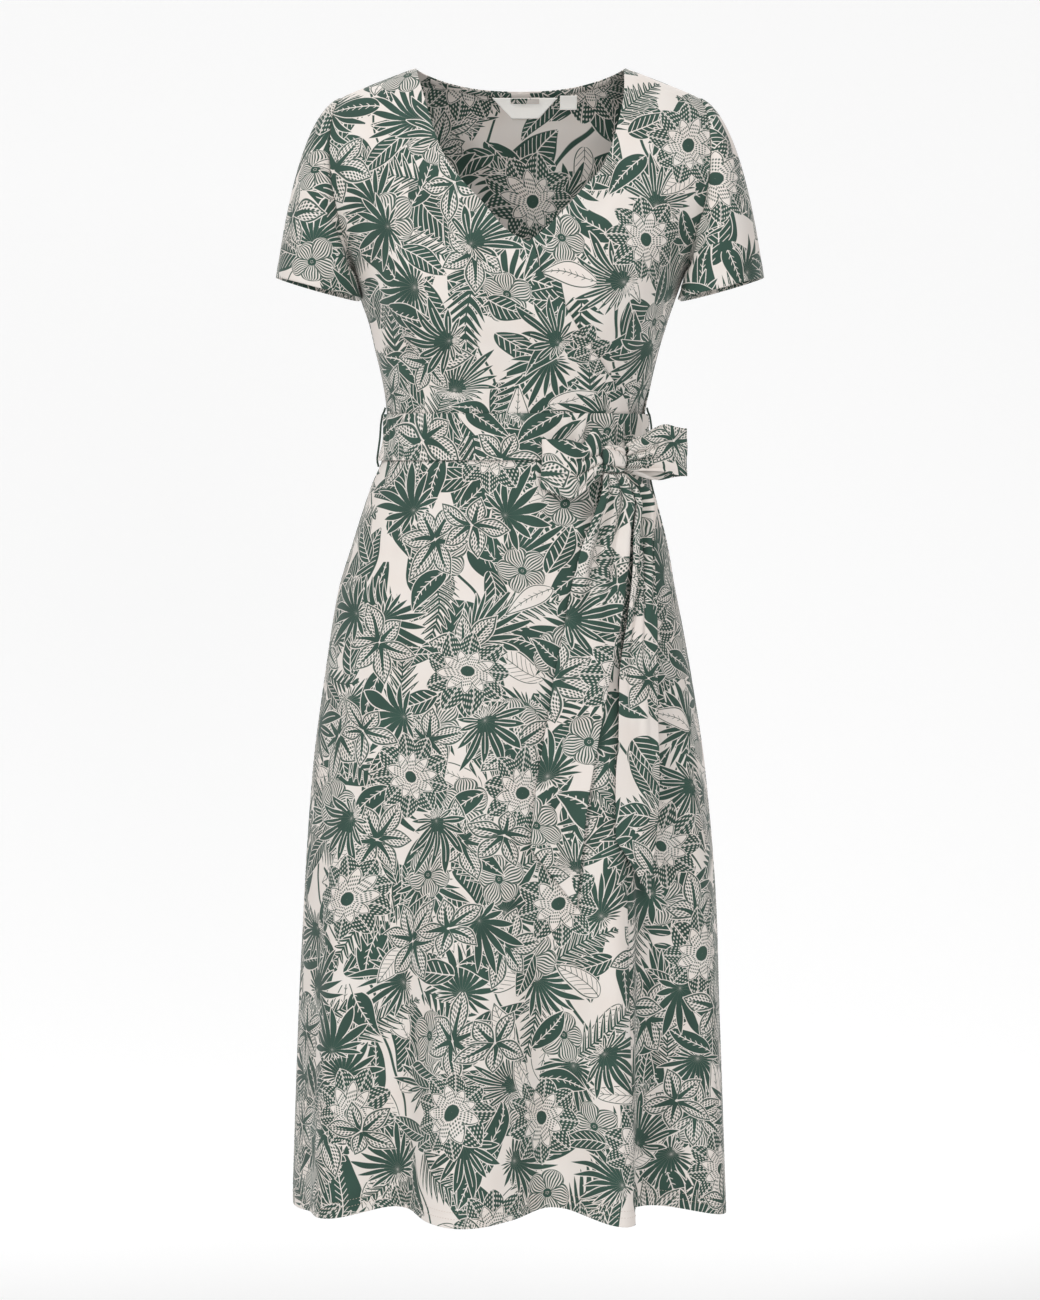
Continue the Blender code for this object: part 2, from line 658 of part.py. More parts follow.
def make_patch(patch, surfaces, material):
    """A tab or label sewn inside the back neck."""
    rows = []
    for j in range(4):
        drop = patch.top + (patch.bottom - patch.top) * j / 3
        half = patch.top_half + (patch.bottom_half - patch.top_half) * j / 3
        spread = [patch.middle + half * (2 * k / 7 - 1) for k in range(8)]
        rows.append([inside_point(surfaces, across, drop, patch.clear) for across in spread])
    return make_cloth(patch.name, [rows], material, thickness=TRIM)


def back_neck_drop(across):
    """The back neckline in front view, which is back_neck_bearing turned round."""
    return BACK_NECK_DROP * (1 - min(abs(across) / NECK_POINT, 1.0) ** (1 / NECK_ROUNDNESS))


def make_neck_binding(surfaces, material):
    """The narrow strip that finishes the back neck on the inside."""
    half = NECK_POINT - 12
    rows = []
    for below in (0.8, 0.8 + BINDING_WIDTH):
        points = []
        for k in range(FINE_STEPS + 1):
            across = -half + 2 * half * k / FINE_STEPS
            points.append(inside_point(surfaces, across, back_neck_drop(across) + below, SEWN_ON))
        rows.append(spaced(points, 27))
    return make_cloth("back_neck_binding", [rows], material, thickness=TRIM)


clear_scene()
DRESS = bpy.data.collections.new("Wrap dress")
bpy.context.scene.collection.children.link(DRESS)
PRINTED = make_material("Printed jersey", NAVY_GREEN, 0.85)
PLAIN = make_material("Plain label tape", CREAM, 0.8)

make_over_front(PRINTED)
make_under_front(PRINTED)
back_surfaces = make_surfaces(make_back_bodice(PRINTED))
make_sleeve("left_sleeve", 1, PRINTED)
make_sleeve("right_sleeve", -1, PRINTED)
make_over_skirt(PRINTED)
make_under_skirt(PRINTED)
make_back_skirt(PRINTED)
make_belt(PRINTED)
make_bow(PRINTED)
make_tail("tie_tail_long", LONG_TAIL, LONG_TAIL_ENDS, OVER_FLUTES, 0.0, PRINTED)
make_tail("tie_tail_short", SHORT_TAIL, SHORT_TAIL_ENDS, (), 18.0, PRINTED)
make_belt_loop("belt_loop_left", 0, PRINTED)
make_belt_loop("belt_loop_right", 180, PRINTED)
make_neck_binding(back_surfaces, PRINTED)
for patch in PATCHES:
    make_patch(patch, back_surfaces, PLAIN)
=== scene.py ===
# %% [markdown]
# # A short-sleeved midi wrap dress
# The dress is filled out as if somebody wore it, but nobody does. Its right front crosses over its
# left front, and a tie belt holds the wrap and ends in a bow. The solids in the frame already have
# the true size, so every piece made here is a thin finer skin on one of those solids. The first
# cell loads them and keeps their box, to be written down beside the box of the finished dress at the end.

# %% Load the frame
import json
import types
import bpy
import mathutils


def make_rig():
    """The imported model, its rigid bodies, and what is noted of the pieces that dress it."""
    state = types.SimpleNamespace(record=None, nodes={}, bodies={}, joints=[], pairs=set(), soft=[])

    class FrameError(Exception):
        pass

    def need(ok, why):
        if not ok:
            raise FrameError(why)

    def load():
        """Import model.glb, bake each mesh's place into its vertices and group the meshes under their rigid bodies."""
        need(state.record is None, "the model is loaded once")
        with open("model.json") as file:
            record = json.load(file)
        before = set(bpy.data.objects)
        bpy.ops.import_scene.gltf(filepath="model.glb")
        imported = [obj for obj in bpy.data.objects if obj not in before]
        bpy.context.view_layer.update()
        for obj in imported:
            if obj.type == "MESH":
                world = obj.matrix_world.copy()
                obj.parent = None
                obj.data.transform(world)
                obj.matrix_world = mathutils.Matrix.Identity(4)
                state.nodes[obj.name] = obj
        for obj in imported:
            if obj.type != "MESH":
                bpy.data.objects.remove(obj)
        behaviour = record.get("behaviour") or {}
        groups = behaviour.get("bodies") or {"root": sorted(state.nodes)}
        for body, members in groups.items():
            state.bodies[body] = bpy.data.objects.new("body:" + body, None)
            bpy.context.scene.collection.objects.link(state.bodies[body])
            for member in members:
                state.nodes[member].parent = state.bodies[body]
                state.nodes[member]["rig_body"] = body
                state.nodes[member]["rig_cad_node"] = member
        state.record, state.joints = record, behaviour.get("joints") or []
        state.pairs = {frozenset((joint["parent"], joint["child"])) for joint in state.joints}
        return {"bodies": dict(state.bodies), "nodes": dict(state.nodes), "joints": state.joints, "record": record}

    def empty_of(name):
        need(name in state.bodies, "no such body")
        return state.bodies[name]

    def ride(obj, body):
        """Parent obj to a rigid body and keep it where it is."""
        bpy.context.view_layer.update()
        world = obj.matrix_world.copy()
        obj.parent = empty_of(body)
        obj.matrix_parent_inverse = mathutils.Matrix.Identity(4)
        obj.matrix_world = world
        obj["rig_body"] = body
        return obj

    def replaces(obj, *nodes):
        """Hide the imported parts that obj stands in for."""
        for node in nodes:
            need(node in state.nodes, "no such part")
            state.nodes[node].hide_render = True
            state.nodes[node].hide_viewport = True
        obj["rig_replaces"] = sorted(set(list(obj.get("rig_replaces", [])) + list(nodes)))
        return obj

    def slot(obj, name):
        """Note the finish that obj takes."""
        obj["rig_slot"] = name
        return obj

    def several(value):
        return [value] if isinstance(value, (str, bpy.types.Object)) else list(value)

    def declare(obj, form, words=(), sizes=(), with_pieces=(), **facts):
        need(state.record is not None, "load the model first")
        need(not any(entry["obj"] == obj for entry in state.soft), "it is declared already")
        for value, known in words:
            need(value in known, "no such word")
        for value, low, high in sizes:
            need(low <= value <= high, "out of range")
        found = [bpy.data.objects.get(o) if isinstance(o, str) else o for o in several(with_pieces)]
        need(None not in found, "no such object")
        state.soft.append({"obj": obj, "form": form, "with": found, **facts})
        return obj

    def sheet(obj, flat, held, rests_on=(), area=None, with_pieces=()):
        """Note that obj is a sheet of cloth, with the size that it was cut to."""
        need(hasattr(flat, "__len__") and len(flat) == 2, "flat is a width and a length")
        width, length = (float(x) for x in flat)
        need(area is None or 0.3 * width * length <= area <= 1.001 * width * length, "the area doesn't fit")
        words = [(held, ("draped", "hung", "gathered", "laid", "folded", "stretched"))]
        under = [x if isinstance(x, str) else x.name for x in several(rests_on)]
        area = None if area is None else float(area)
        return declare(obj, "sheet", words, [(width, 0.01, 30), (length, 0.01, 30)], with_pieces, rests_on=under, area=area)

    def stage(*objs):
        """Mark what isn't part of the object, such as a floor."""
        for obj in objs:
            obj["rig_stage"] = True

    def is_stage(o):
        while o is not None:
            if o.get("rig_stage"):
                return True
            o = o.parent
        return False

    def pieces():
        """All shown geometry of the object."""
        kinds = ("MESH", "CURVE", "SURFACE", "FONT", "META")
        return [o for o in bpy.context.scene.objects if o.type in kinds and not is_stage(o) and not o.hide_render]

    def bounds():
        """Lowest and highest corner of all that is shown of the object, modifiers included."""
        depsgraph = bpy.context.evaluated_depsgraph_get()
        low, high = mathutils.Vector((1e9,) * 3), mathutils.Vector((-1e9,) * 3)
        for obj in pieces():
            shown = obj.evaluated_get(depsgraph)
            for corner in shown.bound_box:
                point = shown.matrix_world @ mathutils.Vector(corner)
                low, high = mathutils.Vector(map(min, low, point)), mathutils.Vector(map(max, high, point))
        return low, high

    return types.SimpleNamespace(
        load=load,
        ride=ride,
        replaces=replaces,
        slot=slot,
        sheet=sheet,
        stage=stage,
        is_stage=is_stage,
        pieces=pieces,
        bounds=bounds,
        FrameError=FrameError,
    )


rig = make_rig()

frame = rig.load()

import json
import math
from collections import namedtuple

import bmesh
import bpy
import numpy as np
from mathutils import Vector

cad_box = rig.bounds()
print("nodes in the frame:", len(frame["nodes"]))

# %% [markdown]
# ## The worn form
# Cloth that is worn follows a few level sections of a body. Each section here is a rounded
# superellipse, a little squarer than an ellipse, and a table says how wide and how deep it is at
# each drop below the high ends of the shoulder seams. A modelled body would show anatomy that a
# dress doesn't have, and a lattice would be hard to measure on, so a table with a smooth curve
# through each column is the better choice. Sizes are in millimetres, and a bearing goes round the
# body: 0 is the wearer's left side, 90 the centre front, 180 the right side, 270 the centre back.

# %% The sections of the dress
MM = 0.001
ORIGIN_DROP = 15.0
WAIST_DROP = 366.0
HEM_DROP = 1131.0
SQUARENESS = 2.3

Section = namedtuple("Section", "drop sway half_width front back")
SECTIONS = (
    Section(0, 0, 103, 36, 40), Section(4, 0, 114, 39, 44), Section(12, 0, 135, 45, 52),
    Section(20, 0, 155, 50, 58), Section(30, 0, 177, 56, 65), Section(45, 0, 191, 63, 73),
    Section(60, 0, 199, 70, 79), Section(85, 0, 206, 81, 88), Section(110, 0, 206, 90, 94),
    Section(140, 0, 197, 99, 99), Section(170, -1, 182, 106, 101), Section(200, -1, 166, 111, 101),
    Section(229, -2, 156, 113, 98), Section(252, -2, 148, 110, 94), Section(282, -3, 140, 102, 88),
    Section(312, -3, 133, 93, 83), Section(343, -4, 128, 86, 80), Section(366, -4, 127, 85, 80),
    Section(389, -5, 132, 88, 84), Section(415, -8, 140, 93, 92), Section(470, -10, 156, 100, 104),
    Section(520, -13, 168, 105, 112), Section(600, -12, 182, 113, 119),
    Section(700, -11, 196, 122, 126), Section(830, -10, 206, 134, 134),
    Section(950, -11, 211, 145, 141), Section(1060, -11, 215, 153, 148),
    Section(1180, -11, 219, 162, 157),
)


class Profile:
    """A smooth curve through the rows of a table that never swings past them."""

    def __init__(self, table, column):
        self.x = np.array([row.drop for row in table], float)
        self.y = np.array([getattr(row, column) for row in table], float)
        rise = np.diff(self.y) / np.diff(self.x)
        before, after = rise[:-1], rise[1:]
        level = before * after <= 0
        inner = np.where(level, 0, 2 * before * after / np.where(level, 1, before + after))
        self.slope = np.concatenate(([rise[0]], inner, [rise[-1]]))

    def at(self, x):
        x = np.clip(x, self.x[0], self.x[-1])
        i = np.clip(np.searchsorted(self.x, x, side="right") - 1, 0, len(self.x) - 2)
        width = self.x[i + 1] - self.x[i]
        t = (x - self.x[i]) / width
        start = (1 + 2 * t) * (1 - t) ** 2 * self.y[i] + t * (1 - t) ** 2 * width * self.slope[i]
        end = t * t * (3 - 2 * t) * self.y[i + 1] + t * t * (t - 1) * width * self.slope[i + 1]
        return start + end


SWAY, HALF_WIDTH = Profile(SECTIONS, "sway"), Profile(SECTIONS, "half_width")
FRONT, BACK = Profile(SECTIONS, "front"), Profile(SECTIONS, "back")
waist_round = np.pi * (HALF_WIDTH.at(WAIST_DROP) + FRONT.at(WAIST_DROP))
print("waist round about", round(float(waist_round)), "mm")

# %% [markdown]
# ## Points on the form
# Every piece asks the same function where the cloth lies. It takes a bearing, a drop and a lift,
# the height above the form, so a fold is only a change of lift. The function works on whole
# arrays of numbers at once, which keeps fine meshes quick. Two soft steps are used all over the
# dress: one that eases from 0 to 1, and one rounded bump. The bust is a pair of wide soft bumps.

# %% Where the cloth lies
BUST_BEARINGS = (57, 123)
BUST_SPAN, BUST_DROP, BUST_REACH, BUST_FULLNESS = 38, 222, 95, 9


def ease(low, high, x):
    """0 below low, 1 above high, and a smooth rise between them."""
    t = np.clip((x - low) / (high - low), 0, 1)
    return t * t * (3 - 2 * t)


def swell(distance, span):
    """A soft rounded bump: 1 at its middle and 0 from span outwards."""
    return np.cos(np.pi / 2 * np.clip(np.abs(distance) / span, 0, 1)) ** 2


def body_point(bearing, drop, lift=0.0):
    """Points of the worn form, moved outwards by lift."""
    bearing, drop = np.asarray(bearing, float), np.asarray(drop, float)
    fullness = sum(swell(bearing - b, BUST_SPAN) for b in BUST_BEARINGS)
    lift = lift + BUST_FULLNESS * swell(drop - BUST_DROP, BUST_REACH) * fullness
    c, s = np.cos(np.radians(bearing)), np.sin(np.radians(bearing))
    x = np.sign(c) * np.abs(c) ** (2 / SQUARENESS) * (HALF_WIDTH.at(drop) + lift)
    depth = np.where(s > 0, FRONT.at(drop), BACK.at(drop)) + lift
    y = -np.sign(s) * np.abs(s) ** (2 / SQUARENESS) * depth
    x, y, z = np.broadcast_arrays(SWAY.at(drop) + x, y, ORIGIN_DROP - drop)
    return np.stack((x, y, z), axis=-1)


def bearing_at(across, drop, back=False):
    """The bearing where the section at this drop is as far across as that."""
    share = np.clip((across - SWAY.at(drop)) / HALF_WIDTH.at(drop), -1, 1)
    bearing = np.degrees(np.arccos(np.sign(share) * np.abs(share) ** (SQUARENESS / 2)))
    return 360 - bearing if back else bearing


print("centre front of the bust:", body_point(90, BUST_DROP).round(1), "mm")

# %% [markdown]
# ## The flat cut and the grid
# A pattern piece is flat before it is sewn. Blender's unwrap is good at laying a curved piece
# flat, so each panel is unwrapped, scaled back to its real size and turned until the grain runs
# straight down the dress. Those flat places are kept as the UV map named cut, in metres. The
# print reads them, so it bends and crowds over folds exactly as printed cloth does. Each panel is
# a grid of points spaced evenly along its rows, with a few extra points beside its edges, where
# a seam or a hem needs a tight little curve.

# %% Grids of points
FINE_STEPS = 360
EDGE_STEPS = (0.0, 0.8, 1.8, 3.2)
Grid = namedtuple("Grid", "points guess")


def edged(length, pitch, steps=EDGE_STEPS):
    """Shares of a length, about pitch apart, with extra ones beside both ends."""
    inner = np.linspace(steps[-1], length - steps[-1], max(int(length / pitch), 4))[1:-1]
    return np.concatenate((steps, inner, length - np.array(steps[::-1]))) / length


def lengths_along(line):
    """How far each point of a line is from its start, measured along it."""
    steps = np.linalg.norm(np.diff(line, axis=0), axis=-1)
    return np.concatenate((np.zeros((1, *steps.shape[1:])), np.cumsum(steps, axis=0)))


def lay_rows(drops, start, end, place, half, pitch, grain):
    """Rows of points from bearing start to end, evenly spaced along the cloth.

    half is the range of bearings that place can be asked for, and grain the bearing that the
    flat cut is measured from.
    """
    fine = np.linspace(*half, FINE_STEPS + 1)
    drops = np.asarray(drops, float)
    length = lengths_along(place(fine[:, None], drops[None, :])).T
    first = np.array([np.interp(b, fine, row) for b, row in zip(start, length)])
    last = np.array([np.interp(b, fine, row) for b, row in zip(end, length)])
    origin = np.array([np.interp(grain, fine, row) for row in length])
    shares = edged(np.max(last - first), pitch)
    at = first[:, None] + (last - first)[:, None] * shares[None, :]
    bearing = np.array([np.interp(want, row, fine) for want, row in zip(at, length)])
    spine = place(np.full(len(drops), float(grain)), drops)
    down = np.broadcast_to(lengths_along(spine)[:, None], at.shape)
    guess = np.stack((origin[:, None] - at, -down), axis=-1)
    drop = np.broadcast_to(drops[:, None], at.shape)
    return Grid(place(bearing, drop), guess)


print("places along 40 mm of cloth:", (edged(40, 8) * 40).round(1), "mm")

# %% Normals and edges of a grid
SEAM_DIP, SEAM_REACH = 0.7, 2.6
TURNED_RAISE, TURNED_WIDTH = 0.3, 9.0
HEM_RAISE, HEM_LINES, STITCH_DIP, STITCH_REACH = 0.35, (9.0, 15.5), 0.45, 1.5
HEM_STEPS = (0, 0.8, 2, 4, 6.2, 7.6, 9, 10.4, 12.2, 14.1, 15.5, 16.9, 18.6, 21)
EDGE_FADE = 2.0  # over how much cloth the raised part of a turned edge or a hem ends


def outward(points):
    """Unit normals of a grid whose rows run down and whose columns follow the bearing."""
    normal = np.cross(np.gradient(points, axis=0), np.gradient(points, axis=1))
    return normal / np.maximum(np.linalg.norm(normal, axis=2, keepdims=True), 1e-9)


def insets(points):
    """How far along the cloth each point lies from the top, bottom, start and end edges."""
    down, over = lengths_along(points), lengths_along(points.swapaxes(0, 1)).T
    return dict(top=down, bottom=down[-1:] - down, start=over, end=over[:, -1:] - over)


def edge_rise(kind, inset):
    """How an edge of this kind lifts or sinks the cloth beside it."""
    if kind == "seam":
        return -SEAM_DIP * (1 - ease(0, SEAM_REACH, inset))
    if kind == "turned":
        return TURNED_RAISE * (1 - ease(TURNED_WIDTH - EDGE_FADE, TURNED_WIDTH + EDGE_FADE, inset))
    raised = HEM_RAISE * (1 - ease(HEM_LINES[-1], HEM_LINES[-1] + EDGE_FADE, inset))
    return raised - STITCH_DIP * sum(swell(inset - line, STITCH_REACH) for line in HEM_LINES)


def finish_edges(points, **kinds):
    """Moves the cloth beside its edges as its seams, turned edges and hems do."""
    distance = insets(points)
    rise = sum(edge_rise(kind, distance[edge]) for edge, kind in kinds.items())
    return points + outward(points) * rise[..., None]


print("the cloth sinks under its stitches by", round(-edge_rise("hem", HEM_LINES[1]), 2), "mm")

# %% A mesh from a grid
WELD_REACH = 0.01
DRESS = bpy.data.collections.new("Wrap dress")
bpy.context.scene.collection.children.link(DRESS)


def grid_quads(rows, columns, used=0):
    """The corners of each face of a grid whose points are numbered from used."""
    index = used + np.arange(rows * columns).reshape(rows, columns)
    corners = (index[:-1, :-1], index[:-1, 1:], index[1:, 1:], index[1:, :-1])
    return np.stack(corners, axis=-1).reshape(-1, 4)


def grid_mesh(name, grids):
    """One mesh of quads over grids of points in millimetres, facing outwards and welded together.

    Returns the mesh and the guessed flat place of each of its points.
    """
    points = np.concatenate([p.reshape(-1, 3) for p, _ in grids])
    guess = np.concatenate([g.reshape(-1, 2) for _, g in grids])
    quads, used = [], 0
    for grid_points, _ in grids:
        rows, columns = grid_points.shape[:2]
        quads.append(grid_quads(rows, columns, used))
        used += rows * columns
    _, kept, place = np.unique(np.round(points, 2), axis=0, return_index=True, return_inverse=True)
    place = place.ravel()
    mesh = bpy.data.meshes.new(name)
    mesh.from_pydata((points[kept] * MM).tolist(), [], place[np.concatenate(quads)].tolist())
    mesh.uv_layers.new(name="cut")
    return mesh, guess[kept]


def weld(mesh, reach=WELD_REACH, edges_only=False):
    """Joins points that are closer than reach, in millimetres, anywhere or only along the edges."""
    bm = bmesh.new()
    bm.from_mesh(mesh)
    joined = [v for v in bm.verts if v.is_boundary or not edges_only]
    bmesh.ops.remove_doubles(bm, verts=joined, dist=reach * MM)
    bm.to_mesh(mesh)
    bm.free()


print("pieces go into the collection", DRESS.name)

# %% Laying a panel flat
def loop_vertices(mesh):
    index = np.empty(len(mesh.loops), int)
    mesh.loops.foreach_get("vertex_index", index)
    return index


def read_cut(mesh):
    """The flat place of each corner, in metres."""
    flat = np.empty(len(mesh.loops) * 2, np.float32)
    mesh.uv_layers["cut"].data.foreach_get("uv", flat)
    return flat.reshape(-1, 2)


def write_cut(mesh, places):
    """Stores the flat place of each corner, given in millimetres."""
    mesh.uv_layers["cut"].data.foreach_set("uv", (places * MM).astype(np.float32).ravel())


def flat_areas(mesh):
    """The area of the mesh, and of its flat cut, in square metres."""
    x, y = read_cut(mesh).reshape(-1, 4, 2).astype(float).transpose(2, 0, 1)
    cut = np.sum(x * np.roll(y, -1, axis=1) - y * np.roll(x, -1, axis=1)) / 2
    return sum(face.area for face in mesh.polygons), abs(cut)


def lay_flat(obj, guess):
    """Unwraps a panel, scales it to its real area, and turns it so that its grain runs down."""
    bpy.context.view_layer.objects.active = obj
    obj.select_set(True)
    bpy.ops.object.mode_set(mode="EDIT")
    bpy.ops.mesh.select_all(action="SELECT")
    bpy.ops.uv.unwrap(method="ANGLE_BASED", margin=0)
    bpy.ops.object.mode_set(mode="OBJECT")
    obj.select_set(False)
    mesh = obj.data
    surface, unwrapped = flat_areas(mesh)
    flat = read_cut(mesh).astype(float) @ np.array((1, 1j))
    wanted = guess.reshape(-1, 2)[loop_vertices(mesh)] @ np.array((1, 1j))
    flat, middle = flat - flat.mean(), wanted.mean()
    turn = np.sum(np.conj(flat) * (wanted - middle))
    flat = flat * turn / abs(turn) * math.sqrt(surface / unwrapped) / MM + middle
    write_cut(mesh, np.stack((flat.real, flat.imag), axis=-1))


# %% Cut cloth with a thickness
CLOTH = 1.2


def finish_cloth(obj, shift, thickness, inward):
    """Moves the cut to its own place on the print, and gives the cloth its thickness."""
    mesh = obj.data
    flat = read_cut(mesh) + np.array(shift, np.float32) * MM
    mesh.uv_layers["cut"].data.foreach_set("uv", flat.ravel())
    surface, cut = flat_areas(mesh)
    obj["cut"] = [float(size) for size in np.ptp(flat, axis=0)] + [float(cut)]
    weld(mesh)
    mesh.shade_smooth()
    wall = obj.modifiers.new("Cloth thickness", "SOLIDIFY")
    wall.thickness = thickness * MM
    wall.offset = -1 if inward else 1
    width, length = obj["cut"][:2]
    print(f"{obj.name}: cut {width / MM:.0f} x {length / MM:.0f} mm, {surface:.4f} m2 of cloth")
    return obj


def make_cloth(name, grids, shift):
    """A cut panel. shift moves its cut over the printed cloth, so that no two panels match."""
    mesh, guess = grid_mesh(name, grids)
    obj = bpy.data.objects.new(name, mesh)
    DRESS.objects.link(obj)
    lay_flat(obj, guess)
    return finish_cloth(obj, shift, CLOTH, inward=True)


def make_strip(name, points, guess, shift, thickness=CLOTH, inward=False):
    """A strip whose flat cut is known: its rows and columns lie at the places that guess gives."""
    mesh = bpy.data.meshes.new(name)
    quads = grid_quads(*points.shape[:2])
    mesh.from_pydata((points.reshape(-1, 3) * MM).tolist(), [], quads.tolist())
    mesh.uv_layers.new(name="cut")
    obj = bpy.data.objects.new(name, mesh)
    DRESS.objects.link(obj)
    write_cut(mesh, guess.reshape(-1, 2)[loop_vertices(mesh)])
    return finish_cloth(obj, shift, thickness, inward)


print("thickness of the cloth:", CLOTH, "mm")

# %% [markdown]
# ## Creases
# Soft jersey hangs in a few long shallow creases. Each one here is drawn as a stroke in
# the front view, with a start, a bend and an end, a width and a depth, and it fades out at both
# ends. Sculpting would give the same forms, but a stroke is a named size that can be changed,
# and every layer that shares the strokes sinks and rises together.

# %% Strokes
Crease = namedtuple("Crease", "start bend end width depth")
STROKE_STEPS, STROKE_FADE = 10, 0.35


def crease_lift(across, drop, creases):
    """The lift that the creases give at these places of the front or back view."""
    across, drop = np.broadcast_arrays(across, drop)
    total = np.zeros(across.shape)
    for crease in creases:
        t = np.linspace(0, 1, STROKE_STEPS + 1)[:, None]
        start, bend, end = (np.array(p, float) for p in (crease.start, crease.bend, crease.end))
        path = start * (1 - t) ** 2 + bend * 2 * t * (1 - t) + end * t * t
        low, high = path.min(axis=0) - crease.width, path.max(axis=0) + crease.width
        near = (across > low[0]) & (across < high[0]) & (drop > low[1]) & (drop < high[1])
        x, y = across[near], drop[near]
        best, along = np.full(x.shape, 1e9), np.zeros(x.shape)
        for k, (a, b) in enumerate(zip(path, path[1:])):
            step = b - a
            share = np.clip(((x - a[0]) * step[0] + (y - a[1]) * step[1]) / (step @ step), 0, 1)
            apart = np.hypot(x - a[0] - share * step[0], y - a[1] - share * step[1])
            closer = apart < best
            best = np.where(closer, apart, best)
            along = np.where(closer, (k + share) / STROKE_STEPS, along)
        fade = ease(0, STROKE_FADE, along) * ease(0, STROKE_FADE, 1 - along)
        total[near] += crease.depth * swell(best, crease.width) * fade
    return total


print("a stroke fades in and out over", STROKE_FADE, "of its length")

# %% [markdown]
# ## The bodice
# Two fronts cross over each other and one back joins them. The neckline of each front is a table
# of places in the front view, so the crossing lies where it should. The left front runs on
# beneath the right one, and it is sunk there by a little more than the thickness of the cloth.

# %% Edges of the bodice
SEAM_GAP = 0.4
UNDERLAP, UNDERLAP_FADE = 3.4, (8, 45)
SHOULDER_TIP_DROP, UNDERARM_DROP = 30.0, 200.0
BACK_NECK_DROP, NECK_POINT, NECK_ROUNDNESS = 17.5, 103.0, 0.42
SKIRT_TOP = WAIST_DROP + SEAM_GAP / 2

Edge = namedtuple("Edge", "drop across")
ARMHOLE = Profile((
    Edge(30, 177), Edge(45, 183.5), Edge(60, 186), Edge(85, 187), Edge(110, 185.5),
    Edge(140, 180), Edge(170, 172), Edge(190, 167), Edge(200, 166),
), "across")
OVER_NECK = Profile((
    Edge(0, -103), Edge(12, -100), Edge(36, -93), Edge(63, -85), Edge(87, -76),
    Edge(113, -59), Edge(141, -34), Edge(158, -20), Edge(171, -6), Edge(177, 8),
    Edge(184, 14), Edge(205, 20), Edge(225, 34), Edge(263, 56), Edge(303, 86),
    Edge(339, 107), Edge(370, 109),
), "across")
UNDER_NECK = Profile((
    Edge(0, 103), Edge(12, 103), Edge(29, 102), Edge(46, 99), Edge(73, 92),
    Edge(100, 82), Edge(126, 60), Edge(154, 35), Edge(170, 18), Edge(177, 8),
    Edge(209, -22), Edge(262, -56), Edge(320, -84), Edge(370, -102),
), "across")

def seam_bearing(drop, back=False):
    """How far from the side the cloth stops so that half a seam gap is left."""
    depth = (BACK if back else FRONT).at(drop)
    return np.degrees(np.arcsin((SEAM_GAP / 2 / depth) ** (SQUARENESS / 2)))


def outer_bearing(drop, back=False):
    """Degrees from the side to where a bodice piece starts."""
    share = np.minimum(ARMHOLE.at(drop) / HALF_WIDTH.at(drop), 1)
    armhole = np.degrees(np.arccos(share ** (SQUARENESS / 2)))
    inside = (drop > SHOULDER_TIP_DROP) & (drop < UNDERARM_DROP)
    seam = seam_bearing(drop, back)
    return np.where(inside, np.maximum(seam, armhole), seam)


print("armhole:", round(UNDERARM_DROP - SHOULDER_TIP_DROP), "mm high")

# %% Creases of the bodice
FRONT_CREASES = (
    Crease((-168, 128), (-156, 168), (-128, 222), 13, -1.9),
    Crease((-150, 214), (-126, 262), (-92, 312), 14, -2.0),
    Crease((-136, 262), (-112, 300), (-74, 334), 11, -1.5),
    Crease((-112, 240), (-88, 280), (-40, 306), 15, -1.2),
    Crease((-122, 66), (-94, 134), (-44, 190), 15, -1.3),
    Crease((-88, 74), (-58, 128), (-6, 176), 8, 0.9),
    Crease((-30, 204), (20, 236), (70, 300), 13, -1.2),
    Crease((-62, 226), (-6, 262), (44, 318), 14, 1.0),
    Crease((168, 132), (158, 170), (136, 226), 13, -1.8),
    Crease((146, 222), (126, 264), (106, 318), 12, -1.9),
    Crease((128, 270), (112, 300), (96, 336), 9, -1.3),
    Crease((112, 70), (92, 128), (58, 176), 13, -1.1),
    Crease((96, 88), (76, 122), (36, 160), 8, 0.8),
    Crease((-102, 322), (-101, 336), (-103, 356), 8, -1.0),
    Crease((-71, 326), (-73, 340), (-72, 358), 7, -0.8),
    Crease((-34, 318), (-31, 336), (-33, 358), 9, 0.7),
    Crease((12, 328), (13, 342), (11, 358), 7, -0.7),
    Crease((58, 320), (56, 338), (57, 358), 8, -0.9),
    Crease((118, 312), (119, 332), (116, 356), 8, -1.1),
)
BACK_CREASES = (
    Crease((-166, 130), (-152, 172), (-122, 232), 14, -2.0),
    Crease((164, 126), (150, 176), (126, 228), 14, -1.8),
    Crease((-138, 232), (-112, 276), (-82, 322), 13, -1.8),
    Crease((136, 240), (114, 280), (88, 330), 13, -1.9),
    Crease((-96, 262), (-40, 290), (18, 288), 13, -1.2),
    Crease((-20, 306), (30, 316), (88, 300), 11, -1.3),
    Crease((-118, 48), (-92, 84), (-46, 102), 15, -1.1),
    Crease((116, 52), (96, 92), (40, 112), 16, -1.0),
    Crease((-74, 318), (-72, 336), (-75, 358), 8, -0.9),
    Crease((-22, 322), (-24, 338), (-21, 358), 8, 0.8),
    Crease((34, 318), (35, 336), (33, 358), 9, -1.0),
    Crease((92, 324), (90, 340), (91, 358), 8, -0.9),
)
print("creases:", len(FRONT_CREASES), "in front,", len(BACK_CREASES), "behind")

